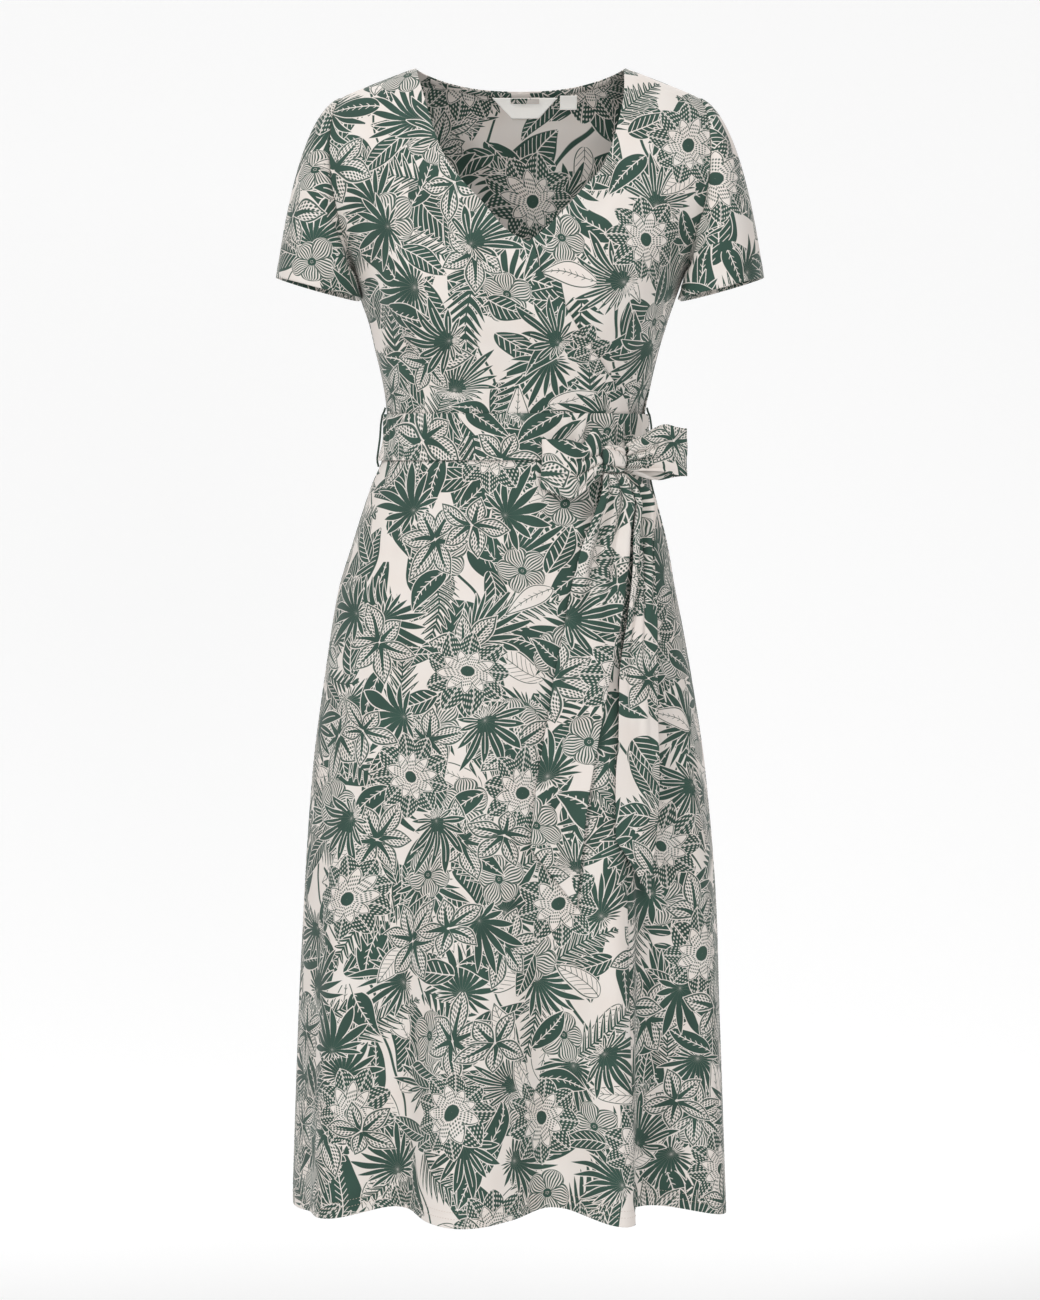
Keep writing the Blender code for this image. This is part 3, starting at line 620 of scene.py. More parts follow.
# %% Bodice panels
BODICE_PITCH = 3.6
YOKE_DROP = 44  # where the rows of the top, drawn close together, give way to even ones
WAIST_STEPS = (20, 16.5, 13, 9.5, 6.5, 4, 2.4, 1.2, SEAM_GAP / 2)
TOP_DROPS = (0.5, 1.5, 3, 5, 7.5, 10.5, 14, 17.5, 21, 24.5, 27.5, 29.5, 31, 33, 36, 40)
BACK_NECK_DROPS = (0.5, 1.2, 2.2, 3.5, 5, 6.7, 8.5, 10.3, 12, 13.5, 14.8, 15.8, 16.6, 17.2)


def bodice_drops(top):
    lower = np.arange(YOKE_DROP, UNDERARM_DROP - 2, BODICE_PITCH)
    waist = WAIST_DROP - np.array(WAIST_STEPS)
    chest = np.arange(UNDERARM_DROP - 1, waist[0] - 2, BODICE_PITCH)
    return np.concatenate((top, lower, chest, waist))


def creased(creases):
    """A function for the points of the form, with these creases in it."""

    def place(bearing, drop):
        across = body_point(bearing, drop)[..., 0]
        return body_point(bearing, drop, crease_lift(across, drop, creases))

    return place


front_place, back_place = creased(FRONT_CREASES), creased(BACK_CREASES)


def under_lift(across, drop, over_edge):
    """Sinks the under layer where the over layer covers it, and for a little way beside it."""
    return -UNDERLAP * (1 - ease(*UNDERLAP_FADE, across - over_edge.at(drop)))


def under_place(bearing, drop):
    across = body_point(bearing, drop)[..., 0]
    lift = crease_lift(across, drop, FRONT_CREASES) + under_lift(across, drop, OVER_NECK)
    return body_point(bearing, drop, lift)


FRONT_DROPS = bodice_drops(TOP_DROPS)


def make_front(name, place, first, last, grain, shift, **edges):
    grid = lay_rows(FRONT_DROPS, first, last, place, (0, 180), BODICE_PITCH, grain)
    return make_cloth(name, [(finish_edges(grid.points, **edges), grid.guess)], shift)


over_front = make_front(
    "over_front", front_place, bearing_at(OVER_NECK.at(FRONT_DROPS), FRONT_DROPS),
    180 - outer_bearing(FRONT_DROPS), 110, (0, 0), start="turned", end="seam",
)
under_front = make_front(
    "under_front", under_place, outer_bearing(FRONT_DROPS),
    bearing_at(UNDER_NECK.at(FRONT_DROPS), FRONT_DROPS), 60, (910, 340),
    start="seam", end="turned",
)

# %% The back of the bodice
def back_neck_across(drop):
    """Half the width of the back neckline at a drop."""
    return NECK_POINT * (1 - np.clip(drop / BACK_NECK_DROP, 0, 1)) ** NECK_ROUNDNESS


def make_back():
    """One piece whose top rows are parted by the neckline, drawn as two halves and welded."""
    drops = bodice_drops((*BACK_NECK_DROPS, *(d for d in TOP_DROPS if d >= BACK_NECK_DROP)))
    outer, half = outer_bearing(drops, back=True), back_neck_across(drops)
    parted = drops < BACK_NECK_DROP
    halves = []
    for side, edge in ((-1, "start"), (1, "end")):
        inner = np.where(parted, bearing_at(side * half, drops, back=True), 270)
        start, end = (180 + outer, inner) if side < 0 else (inner, 360 - outer)
        grid = lay_rows(drops, start, end, back_place, (180, 360), BODICE_PITCH, 270)
        halves.append((finish_edges(grid.points, **{edge: "seam"}), grid.guess))
    return make_cloth("back", halves, (-870, 150))


back = make_back()

# %% [markdown]
# ## The sleeves
# A short set-in sleeve starts as the loop of the armhole, passes over a fuller cap and ends in
# the oval of its cuff. Three rings are enough to draw it, blended along the sleeve by a smooth
# curve. It is drawn open along the underarm seam, so that it can be laid flat, and closed after.

# %% Sleeves
SLEEVE_SEAM, SLEEVE_COLUMNS = 1.2, 98
CUFF_WIDTH, CUFF_DEPTH = 84.0, 120.0
CUFF_MIDDLE, CUFF_UP = np.array((201.0, 0, -219.0)), np.array((0.962, 0, 0.273))
CAP_MIDDLE, CAP_UP, CAP_DEPTH = np.array((195.0, 0, -130.0)), np.array((23.5, 0, 83.0)), 66.0
SLEEVE_LENGTH, SLEEVE_PITCH = 108.0, 3.4
# Where the sleeve rests against the side of the bust, how wide that place is, and how full.
INNER_FRONT_TURN, INNER_FRONT_SPAN, INNER_FRONT_SWELL = 138.0, 48.0, 9.5
INNER_FRONT_START, INNER_FRONT_FULL = 0.1, 0.7
SLEEVE_MIDDLE = 0.6  # the share of its length where its columns are evenly spaced
TUBE_OPENING, TUBE_REACH = 0.05, 0.02  # how far the seam is opened to be laid flat, and its tolerance
UP, OUT_FRONT = np.array((0, 0, 1.0)), np.array((0, 1.0, 0))

# Strokes on a sleeve: degrees round it from the shoulder tip to the front, and mm from the armhole.
SLEEVE_CREASES = (
    Crease((158, 2), (146, 34), (122, 84), 12, -2.4), Crease((140, 0), (120, 22), (88, 46), 11, -1.5),
    Crease((172, 20), (164, 52), (156, 96), 10, 1.3), Crease((70, 6), (84, 44), (86, 92), 13, -1.1),
    Crease((24, 16), (40, 46), (30, 88), 14, -0.9), Crease((-156, 4), (-144, 40), (-118, 88), 13, -2.2),
    Crease((-132, 0), (-108, 26), (-76, 44), 12, -1.5), Crease((-66, 10), (-78, 50), (-82, 96), 12, -1.0),
    Crease((-172, 30), (-166, 60), (-160, 98), 10, 1.1), Crease((-20, 30), (-34, 60), (-26, 94), 13, -0.9),
)


def sleeve_point(turn, share, side):
    """Sleeve points: turn goes round from the shoulder tip, share runs from armhole to cuff."""
    height, width = np.cos(np.radians(turn)), np.sin(np.radians(turn))
    middle = (SHOULDER_TIP_DROP + UNDERARM_DROP) / 2
    drop = middle - (UNDERARM_DROP - SHOULDER_TIP_DROP) / 2 * height
    bearing = np.where(width < 0, 360 - outer_bearing(drop, True), outer_bearing(drop))
    sway = SWAY.at(drop)[..., None] * np.array((1.0, 0, 0))
    seam = body_point(bearing, drop) - sway - np.array((-SLEEVE_SEAM, 0, ORIGIN_DROP))
    height, width, share = height[..., None], width[..., None], share[..., None]
    cap = CAP_MIDDLE + CAP_UP * height - OUT_FRONT * CAP_DEPTH * width
    cuff = CUFF_MIDDLE + CUFF_UP * (CUFF_WIDTH / 2 * height) - OUT_FRONT * (CUFF_DEPTH / 2 * width)
    point = seam * (1 - share) ** 2 + cap * (2 * share * (1 - share)) + cuff * share**2
    rested = ease(INNER_FRONT_START, INNER_FRONT_FULL, share[..., 0])
    inner_front = swell(turn - INNER_FRONT_TURN, INNER_FRONT_SPAN) * rested
    point[..., 0] -= INNER_FRONT_SWELL * inner_front
    point[..., 0] *= side
    return point + sway * (1 - share) ** 2 + UP * ORIGIN_DROP


def even_turns(count):
    """Turns that are evenly spaced round the middle of the sleeve, from underarm to underarm."""
    turn = np.linspace(-180, 180, 2 * FINE_STEPS + 1)
    ring = sleeve_point(turn, np.full(turn.shape, SLEEVE_MIDDLE), 1)
    length = lengths_along(ring)
    return np.interp(np.linspace(0, length[-1], count), length, turn), length[-1]


def make_sleeve(name, side, shift):
    turns, girth = even_turns(SLEEVE_COLUMNS)
    along = SLEEVE_LENGTH * edged(SLEEVE_LENGTH, SLEEVE_PITCH)
    hem = SLEEVE_LENGTH - np.array(HEM_STEPS[::-1])
    along = np.concatenate((along[along < hem[0] - 2], hem))
    turn, share = np.meshgrid(turns, along / SLEEVE_LENGTH)
    points = sleeve_point(turn, share, side)
    if side > 0:
        points, turn = points[:, ::-1], turn[:, ::-1]
    lift = crease_lift(turn, share * SLEEVE_LENGTH, SLEEVE_CREASES)
    points = points + outward(points) * lift[..., None]
    points = finish_edges(points, top="seam", bottom="hem")
    points[:, -1] = points[:, 0]
    round_it = np.broadcast_to(np.linspace(0, girth, len(turns)), share.shape)
    guess = -np.stack((round_it, share * SLEEVE_LENGTH), axis=-1)
    return make_cloth_tube(name, points, guess, shift), points


def make_cloth_tube(name, points, guess, shift):
    """A panel that is laid flat while it is still open, and then closed along its seam."""
    opened = points.copy()
    opened[:, -1] += outward(points)[:, -1] * TUBE_OPENING
    obj = make_cloth(name, [(opened, guess)], shift)
    apart = np.linalg.norm(opened[:, -1] - points[:, 0], axis=1).max()
    weld(obj.data, apart + TUBE_REACH, edges_only=True)
    return obj


left_sleeve, left_sleeve_points = make_sleeve("left_sleeve_cloth", 1, (420, -730))
right_sleeve, right_sleeve_points = make_sleeve("right_sleeve_cloth", -1, (-460, -690))

# %% [markdown]
# ## The skirt
# Below the waist the cloth opens into flutes, vertical folds that grow from nothing to the hem.
# A flute is a place round the body, a width and a depth, so a table of them is the whole skirt.
# The crest of a flute hangs a little lower than its trough, which gives the hem its wave. Each
# flute here has a small shoulder or a twist that the solid leaves out, drawn as creases.

# %% Flutes
Flute = namedtuple("Flute", "bearing span depth start")
OVER_FLUTES = (
    Flute(139, 16, 14, 450), Flute(121, 15, -20, 440), Flute(98, 18, 33, 420),
    Flute(81, 13, -17, 470), Flute(66, 12, 30, 410), Flute(47, 12, -22, 430),
)
UNDER_FLUTES = (Flute(47, 22, -22, 430), Flute(24, 15, 12, 470))
BACK_FLUTES = (
    Flute(203, 17, 10, 500), Flute(223, 18, -22, 450), Flute(245, 18, 28, 430),
    Flute(268, 17, -18, 470), Flute(291, 18, 29, 430), Flute(314, 17, -23, 450),
    Flute(336, 17, 11, 500),
)
FLUTE_GROWTH, HEM_SAG, FRONT_HEM_RISE, FLUTED_UNDERLAP = 1.3, 0.24, 14, 2.4
OVER_SKIRT_EDGE = Profile((Edge(360, 109), Edge(440, 103), Edge(600, 100), Edge(1180, 100)), "across")
UNDER_SKIRT_EDGE = Profile((Edge(360, -30), Edge(800, -48), Edge(1180, -60)), "across")
print("flutes:", len(OVER_FLUTES + UNDER_FLUTES), "in front,", len(BACK_FLUTES), "behind")

# %% Creases of the skirt
SKIRT_CREASES = (
    Crease((-112, 384), (-118, 430), (-132, 520), 11, -1.8),
    Crease((-92, 392), (-96, 470), (-104, 610), 13, 1.5),
    Crease((-62, 386), (-66, 440), (-72, 540), 10, -1.6),
    Crease((-30, 396), (-34, 480), (-38, 640), 14, 1.3),
    Crease((-4, 388), (-6, 430), (-10, 500), 9, -1.4),
    Crease((26, 384), (28, 450), (24, 560), 11, -1.3),
    Crease((52, 392), (58, 430), (60, 500), 9, 1.4),
    Crease((118, 392), (122, 450), (128, 560), 11, -1.7),
    Crease((134, 400), (142, 500), (152, 640), 13, -1.3),
    Crease((-150, 560), (-160, 660), (-166, 800), 15, -2.0),
    Crease((-122, 640), (-128, 760), (-124, 900), 18, 1.7),
    Crease((-84, 700), (-92, 840), (-88, 1010), 17, -2.1),
    Crease((-24, 690), (-30, 800), (-26, 960), 18, -1.6),
    Crease((22, 640), (30, 780), (40, 940), 18, 1.6),
    Crease((70, 820), (74, 930), (84, 1040), 13, -1.7),
    Crease((130, 560), (134, 760), (132, 980), 12, -2.4),
    Crease((158, 620), (166, 760), (170, 930), 16, 1.7),
    Crease((-176, 880), (-182, 980), (-186, 1080), 15, 1.6),
    Crease((-58, 900), (-62, 1000), (-72, 1090), 15, 1.6),
)
UNDER_SKIRT_CREASES = (Crease((101, 560), (106, 800), (108, 1330), 19, 14),)
BACK_SKIRT_CREASES = (
    Crease((-118, 386), (-124, 440), (-140, 560), 12, -1.8),
    Crease((-86, 390), (-92, 470), (-104, 620), 13, 1.5),
    Crease((-54, 386), (-58, 430), (-62, 520), 10, -1.5),
    Crease((-18, 392), (-20, 470), (-26, 620), 14, 1.2),
    Crease((20, 386), (22, 440), (26, 540), 11, -1.6),
    Crease((58, 390), (62, 470), (70, 600), 13, 1.3),
    Crease((96, 386), (102, 440), (116, 560), 12, -1.7),
    Crease((-150, 620), (-160, 740), (-166, 900), 17, -2.0),
    Crease((-104, 700), (-110, 820), (-104, 980), 19, 1.6),
    Crease((-40, 680), (-48, 800), (-44, 960), 18, -1.8),
    Crease((18, 700), (26, 830), (22, 1000), 18, 1.6),
    Crease((82, 660), (90, 800), (94, 980), 17, -2.1),
    Crease((146, 640), (156, 780), (164, 960), 17, 1.7),
)
print("creases:", len(SKIRT_CREASES), "in front,", len(BACK_SKIRT_CREASES), "behind")

# %% Where the skirt hangs
# The under layer, beside the free edge of the over layer: where it counts as covered, where its own
# flutes start to part from the ones above it, how far its hem is shorter there, and where its own
# crease starts and is full. The first two are places across, from that edge.
COVERED_FROM, COVERED_TO, PARTED_FROM, PARTED_TO = -10, 25, -70, -15
UNDER_HEM_RISE, UNDER_CREASE_START, UNDER_CREASE_FULL = 4, 560, 840


def flute_depth(flutes, bearing, drop):
    """How far the folds move the cloth outwards at these places."""
    bearing, drop = np.broadcast_arrays(bearing, drop)
    total = np.zeros(bearing.shape)
    for flute in flutes:
        grown = np.maximum(drop - flute.start, 0) / (HEM_DROP - flute.start)
        total += flute.depth * grown**FLUTE_GROWTH * swell(bearing - flute.bearing, flute.span)
    return total


def hem_drop(bearing):
    return HEM_DROP - FRONT_HEM_RISE * swell(bearing - 90, 90)


def skirt_place(flutes, creases):
    """A function for the points of a skirt piece, by bearing and by the drop of its even row."""

    def place(bearing, row_drop):
        share = (row_drop - SKIRT_TOP) / (HEM_DROP - SKIRT_TOP)
        hem = hem_drop(bearing) + HEM_SAG * flute_depth(flutes, bearing, HEM_DROP)
        drop = SKIRT_TOP + (hem - SKIRT_TOP) * share
        depth = flute_depth(flutes, bearing, drop)
        across = body_point(bearing, drop)[..., 0]
        return body_point(bearing, drop, depth + crease_lift(across, drop, creases))

    return place


def under_skirt_place(bearing, row_drop):
    """The under layer stays inside the over layer wherever that covers it."""
    share = (row_drop - SKIRT_TOP) / (HEM_DROP - SKIRT_TOP)
    plain = body_point(bearing, SKIRT_TOP + (hem_drop(bearing) - SKIRT_TOP) * share)[..., 0]
    own = flute_depth(UNDER_FLUTES, bearing, row_drop)
    covering = flute_depth(OVER_FLUTES, bearing, row_drop)
    beside_edge = plain - OVER_SKIRT_EDGE.at(row_drop)
    covered = 1 - ease(COVERED_FROM, COVERED_TO, beside_edge)
    parted = ease(PARTED_FROM, PARTED_TO, beside_edge)
    beneath = covering + (np.minimum(own, covering) - covering) * parted - FLUTED_UNDERLAP * share
    depth = beneath * covered + own * (1 - covered)
    hem = hem_drop(bearing) - UNDER_HEM_RISE * covered + HEM_SAG * depth * share
    drop = SKIRT_TOP + (hem - SKIRT_TOP) * share
    across = body_point(bearing, drop)[..., 0]
    lift = under_lift(plain, drop, OVER_SKIRT_EDGE) + crease_lift(across, drop, SKIRT_CREASES)
    lower = ease(UNDER_CREASE_START, UNDER_CREASE_FULL, drop)
    lift = lift + crease_lift(across, drop, UNDER_SKIRT_CREASES) * lower
    return body_point(bearing, drop, depth + lift)


print("the hem hangs at", round(float(hem_drop(90))), "mm in front and", round(HEM_DROP), "mm behind")

# %% Skirt panels
SKIRT_PITCH = 5.0
SKIRT_WAIST_STEPS = (0, 1.2, 2.4, 4, 6.5, 9.5, 13, 16.5)
SKIRT_EVEN_FROM, SKIRT_EVEN_STOP = 20.5, 4  # the even rows: how far below the waist and above the hem


def skirt_drops():
    hem = HEM_DROP - SKIRT_TOP - np.array(HEM_STEPS[::-1])
    rows = int((hem[0] - SKIRT_EVEN_FROM - SKIRT_EVEN_STOP) / SKIRT_PITCH)
    middle = np.linspace(SKIRT_EVEN_FROM, hem[0] - SKIRT_EVEN_STOP, rows)
    return SKIRT_TOP + np.concatenate((SKIRT_WAIST_STEPS, middle, hem))


def make_skirt(name, place, half, first, last, grain, shift, **edges):
    drops = skirt_drops()
    ends = [np.broadcast_to(limit(drops), drops.shape) for limit in (first, last)]
    grid = lay_rows(drops, *ends, place, half, SKIRT_PITCH, grain)
    points = finish_edges(grid.points, top="seam", bottom="hem", **edges)
    return make_cloth(name, [(points, grid.guess)], shift), points


over_skirt, over_skirt_points = make_skirt(
    "over_skirt", skirt_place(OVER_FLUTES, SKIRT_CREASES), (0, 180),
    lambda drop: bearing_at(OVER_SKIRT_EDGE.at(drop), drop), lambda drop: 180 - seam_bearing(drop),
    110, (130, 1240), start="turned", end="seam",
)
under_skirt, under_skirt_points = make_skirt(
    "under_skirt", under_skirt_place, (0, 180), seam_bearing,
    lambda drop: bearing_at(UNDER_SKIRT_EDGE.at(drop), drop), 40, (1050, 1420),
    start="seam", end="turned",
)
back_skirt, back_skirt_points = make_skirt(
    "back_skirt_cloth", skirt_place(BACK_FLUTES, BACK_SKIRT_CREASES), (180, 360),
    lambda drop: 180 + seam_bearing(drop, back=True), lambda drop: 360 - seam_bearing(drop, back=True),
    270, (-1130, 1330), start="seam", end="seam",
)

# %% [markdown]
# ## The belt and its bow
# The tie belt is a strip sewn into a tube, so it is soft and creases where it is pulled tight.
# It goes round the waist through two thread loops, and its ends are tied in a bow over the free
# edge of the wrap. The knot, the two loops and the two hanging ends are separate pieces here, as
# they are separate solids. Each is drawn from the path that the strip takes, with its gathers
# strongest at the knot, because a simulated knot would never lie in the place that is wanted.

# %% The belt round the waist
BELT_TOP, BELT_BOTTOM, BELT_LIFT = 343.0, 389.0, 1.5
BELT_PITCH = 2.6
BELT_STEPS = (0.0, 0.7, 1.6)

# Strokes on the belt: degrees round the body from the wearer's left, and degrees of lean.
Pucker = namedtuple("Pucker", "bearing width depth lean reach")
BELT_PUCKERS = (
    Pucker(2, 3.2, 2.3, 2, 1.0), Pucker(7, 2.6, 1.8, -2, 0.8), Pucker(13, 3.4, 1.9, 3, 0.9),
    Pucker(20, 3.0, 1.3, -3, 0.6), Pucker(166, 3.2, 2.0, 4, 0.9), Pucker(171.5, 2.6, 2.6, -3, 1.0),
    Pucker(176.5, 2.8, 2.0, 2, 1.0), Pucker(160, 3.4, 1.6, -4, 0.8), Pucker(152, 3.4, 1.1, 4, 0.5),
    Pucker(183, 2.8, 2.0, -2, 0.9), Pucker(189, 3.2, 1.6, 3, 0.8), Pucker(352, 3.0, 2.0, 2, 0.9),
    Pucker(357, 2.6, 1.7, -2, 0.8), Pucker(345, 3.4, 1.2, 3, 0.6), Pucker(232, 4.0, 0.7, 5, 0.4),
    Pucker(292, 4.2, 0.8, -5, 0.4), Pucker(126, 4.0, 0.7, -5, 0.5), Pucker(108, 3.6, 0.6, 4, 0.4),
    Pucker(76, 2.4, 1.2, 3, 0.7), Pucker(70, 2.2, 1.5, -3, 0.8), Pucker(64, 2.4, 1.8, 4, 0.9),
    Pucker(46, 2.4, 1.7, -4, 0.9), Pucker(40, 2.6, 1.4, 3, 0.8), Pucker(33, 3.0, 0.9, -3, 0.6),
)
Wave = namedtuple("Wave", "count height turn")
BELT_WAVES = (Wave(2, 0.30, 0.4), Wave(5, 0.22, 2.1), Wave(9, 0.16, 4.0))
BELT_WAVE_LEAN, BELT_EDGE_DIP, BELT_COLUMNS = 2.2, 0.9, 321


def belt_lift(bearing, drop):
    """Small folds across the belt, and a long slack wave along it."""
    share = (drop - BELT_TOP) / (BELT_BOTTOM - BELT_TOP)
    lift = np.full(np.broadcast(bearing, drop).shape, BELT_LIFT)
    for pucker in BELT_PUCKERS:
        away = bearing - pucker.bearing - pucker.lean * (share - 0.5)
        from_end = share if pucker.lean > 0 else 1 - share
        ends = ease(0, 1.2 - pucker.reach, from_end)
        lift = lift + pucker.depth * swell(away, pucker.width) * ends
    for slack in BELT_WAVES:
        phase = np.radians(bearing) * slack.count + slack.turn + BELT_WAVE_LEAN * share
        lift = lift + slack.height * (1 + np.sin(phase))
    return lift - BELT_EDGE_DIP * ease(0.5, 0.62, np.abs(share - 0.5) + 0.12)


def make_belt():
    drops = BELT_TOP + (BELT_BOTTOM - BELT_TOP) * edged(BELT_BOTTOM - BELT_TOP, BELT_PITCH, BELT_STEPS)
    bearing, drop = np.meshgrid(np.linspace(0, 360, BELT_COLUMNS), drops)
    points = body_point(bearing, drop, belt_lift(bearing, drop))
    points[:, -1] = points[:, 0]
    girth = lengths_along(points[len(drops) // 2])
    guess = np.stack((np.broadcast_to(-girth, drop.shape), BELT_TOP - drop), axis=-1)
    return make_strip("belt", points, guess, (300, 2500))


belt = make_belt()

# %% The knot
KNOT_ACROSS, KNOT_DROP = 84.0, 388.0
KNOT_SIZE = np.array((26.0, 17.0, 27.0))
KNOT_POWER = 2.5
KNOT_SHOULDER, KNOT_END_SHARE = 3.6, 0.4  # how square its shoulders are, and its height at its ends
KNOT_CUT_HALF, KNOT_CUT_ROUND = 15.0, 12.0  # half its width, and its length for each radian round it
KNOT_INSET, KNOT_ROUND_STEPS, KNOT_WIDTH_STEPS = 0.8, 181, 41
CAD_CLOTH = 1.6
# The band drawn across the knot: where it lies round it, how it slants and narrows, and its folds.
BAND_TURN, BAND_SLANT, BAND_HALF, BAND_TAPER, BAND_REACH = 0.12, 0.26, 0.50, 0.14, 1.45
BAND_RAISE, LOWER_GROOVE, UPPER_GROOVE, KNOT_PLEATS, BAND_PLEATS = 1.7, 4.6, 2.8, 2.2, 0.8
PLEAT_ROUNDNESS = 0.6


def knot_frame():
    """The knot's middle, and the directions along the belt to the side and out from the body."""
    bearing = bearing_at(KNOT_ACROSS, KNOT_DROP)
    before, after = (body_point(bearing + d, KNOT_DROP, BELT_LIFT + CAD_CLOTH) for d in (1, -1))
    along = (after - before) / np.linalg.norm(after - before)
    out = np.array((along[1], -along[0], 0))
    middle = body_point(bearing, KNOT_DROP, BELT_LIFT + CAD_CLOTH)
    return middle + out * (KNOT_SIZE[1] / 2 + SEAM_GAP), along, out


KNOT_MIDDLE, ALONG, OUT = knot_frame()


def superellipse(angle, power):
    c, s = np.cos(angle), np.sin(angle)
    return np.sign(c) * np.abs(c) ** (2 / power), np.sign(s) * np.abs(s) ** (2 / power)


def pleats(place, count):
    """Rounded ridges with sharp valleys between them, from 0 in a valley to 1 on a ridge."""
    return np.abs(np.cos(np.pi * count * place)) ** PLEAT_ROUNDNESS


def make_knot():
    """A band of gathered cloth drawn across the middle of the bow, tight at its lower edge."""
    round_it, over_it = np.linspace(-np.pi, np.pi, KNOT_ROUND_STEPS), np.linspace(-1, 1, KNOT_WIDTH_STEPS)
    wrap, width = np.meshgrid(round_it, over_it)
    out_share, up_share = superellipse(wrap, KNOT_POWER)
    shoulder = (1 - np.abs(width) ** KNOT_SHOULDER) ** (1 / KNOT_SHOULDER)
    band = wrap - (BAND_TURN - BAND_SLANT * width)
    half_band = BAND_HALF - BAND_TAPER * width
    on_band = swell(band / half_band, BAND_REACH)
    lower, upper = swell(band + half_band + 0.20, 0.27), swell(band - half_band - 0.12, 0.2)
    lengthwise = pleats(wrap + 0.30 * width + 0.1 * np.sin(4 * width), 1.05)
    fold = BAND_RAISE * on_band - LOWER_GROOVE * lower - UPPER_GROOVE * upper
    fold = fold + KNOT_PLEATS * (lengthwise - 0.6) * (1 - 0.7 * on_band)
    across_band = pleats(band + 0.08 * np.sin(5 * width), 0.72 * np.pi)
    fold = (fold + BAND_PLEATS * (across_band - 0.5) * on_band) * shoulder
    x = width * (KNOT_SIZE[0] / 2 - KNOT_INSET)
    y = out_share * np.maximum(KNOT_SIZE[1] / 2 * shoulder + fold - KNOT_INSET, KNOT_INSET)
    height = KNOT_END_SHARE + (1 - KNOT_END_SHARE) * shoulder
    z = up_share * ((KNOT_SIZE[2] / 2 - KNOT_INSET) * height + fold * 0.5)
    points = KNOT_MIDDLE + ALONG * x[..., None] + OUT * y[..., None] + UP * z[..., None]
    points[:, -1] = points[:, 0]
    guess = np.stack((width * KNOT_CUT_HALF, wrap * KNOT_CUT_ROUND), axis=-1)
    return make_strip("knot", points, guess, (2190, -2350), thickness=KNOT_INSET, inward=True)


knot = make_knot()

# %% The loops of the bow
LOOP_ROOT, LOOP_SPREAD, LOOP_CLEARANCE = 10.5, 23.5, 1.2
LOOP_STEPS, LOOP_PITCH, STRIP_STEPS = 121, 1.15, (0.0, 0.7, 1.5)
LOOP_SLACK, EAR_SWELL, SIDE_LEAN, FRONT_FORESHORTENING = 0.9, 2.4, 8, 0.96
Loop = namedtuple("Loop", "name reach rise sag half_gap skew ear pleats depth")
SIDE_LOOP = Loop("side_loop", 79, 7, 0, 8, 5.5, 3, 3.4, 5.4)
FRONT_LOOP = Loop("front_loop", 66.5, -4, 11, 7, -1, 18, 3.2, 5.0)


def knot_side(height):
    """How far the knot reaches to its side, this far above or below its middle."""
    level = (2 * np.abs(height) / KNOT_SIZE[2] - KNOT_END_SHARE) / (1 - KNOT_END_SHARE)
    return KNOT_SIZE[0] / 2 * (1 - np.clip(level, 0, 1) ** KNOT_SHOULDER) ** (1 / KNOT_SHOULDER)


def knot_foot(offset):
    """How far the knot reaches down, this far to the side of its middle."""
    level = np.minimum(np.abs(offset) / KNOT_SIZE[0], 0.97)
    return KNOT_SIZE[2] / 2 * (1 - level**KNOT_POWER) ** (1 / KNOT_POWER)


def make_bow_loop(loop, place, shift):
    """A band that goes out from the knot, turns, and comes back behind itself."""
    turn = np.linspace(0, np.pi, LOOP_STEPS)
    share = 2 * edged(2 * LOOP_SPREAD, LOOP_PITCH, STRIP_STEPS) - 1
    share, turn = np.meshgrid(share, turn)
    start = knot_side(share * LOOP_ROOT) + LOOP_CLEARANCE
    reach = start + (loop.reach - start) * np.sin(turn) ** 0.8
    out_there = reach / loop.reach
    layer = loop.half_gap * np.cos(turn) * (0.35 + 0.65 * np.sin(turn))
    opened = ease(0.05, 0.75, out_there)
    height = loop.rise * opened + share * (LOOP_ROOT + (LOOP_SPREAD - LOOP_ROOT) * opened)
    height = height - loop.sag * swell(out_there - 0.6, 0.5) * np.maximum(-share, 0)
    height = height + loop.skew * np.cos(turn) * (1 - ease(0.6, 1.0, out_there)) * opened
    in_front = ease(0.0, 0.35, np.cos(turn))
    ear = swell(out_there - 0.27, 0.19) * ease(-0.1, 1.0, share) * in_front
    height = height + loop.ear * ear
    place_across = share + 0.13 * np.sin(3.1 * share + 2 * turn + 0.6) + 0.10 * opened
    gathered = ease(0.0, 0.22, out_there) * (1 - ease(0.32, 0.98, out_there))
    folds = loop.depth * (pleats(place_across, loop.pleats / 2) - 0.55) * gathered
    slack = LOOP_SLACK * np.sin(5 * share + 4 * turn + 1) * opened * (1 - 0.6 * np.abs(share))
    layer = layer + folds * np.sign(np.cos(turn)) + slack + EAR_SWELL * ear
    points = place(reach, layer, height)
    path = lengths_along(points[:, points.shape[1] // 2])
    guess = np.stack((np.broadcast_to(path[:, None], share.shape), share * LOOP_SPREAD), axis=-1)
    return make_strip(loop.name, points, guess, shift)


def beside(reach, layer, height):
    """The loop that stands out from the wearer's left side."""
    lean = ALONG * math.cos(math.radians(SIDE_LEAN)) + OUT * math.sin(math.radians(SIDE_LEAN))
    return KNOT_MIDDLE + lean * reach[..., None] + OUT * layer[..., None] + UP * height[..., None]


def before(reach, layer, height):
    """The loop that lies on the front of the skirt."""
    lift = BELT_LIFT + CAD_CLOTH + KNOT_SIZE[1] / 2 + SEAM_GAP + layer
    across = KNOT_ACROSS - reach * FRONT_FORESHORTENING
    return body_point(bearing_at(across, KNOT_DROP), KNOT_DROP - height, lift)


side_loop = make_bow_loop(SIDE_LOOP, beside, (960, 2640))
front_loop = make_bow_loop(FRONT_LOOP, before, (1190, 2570))

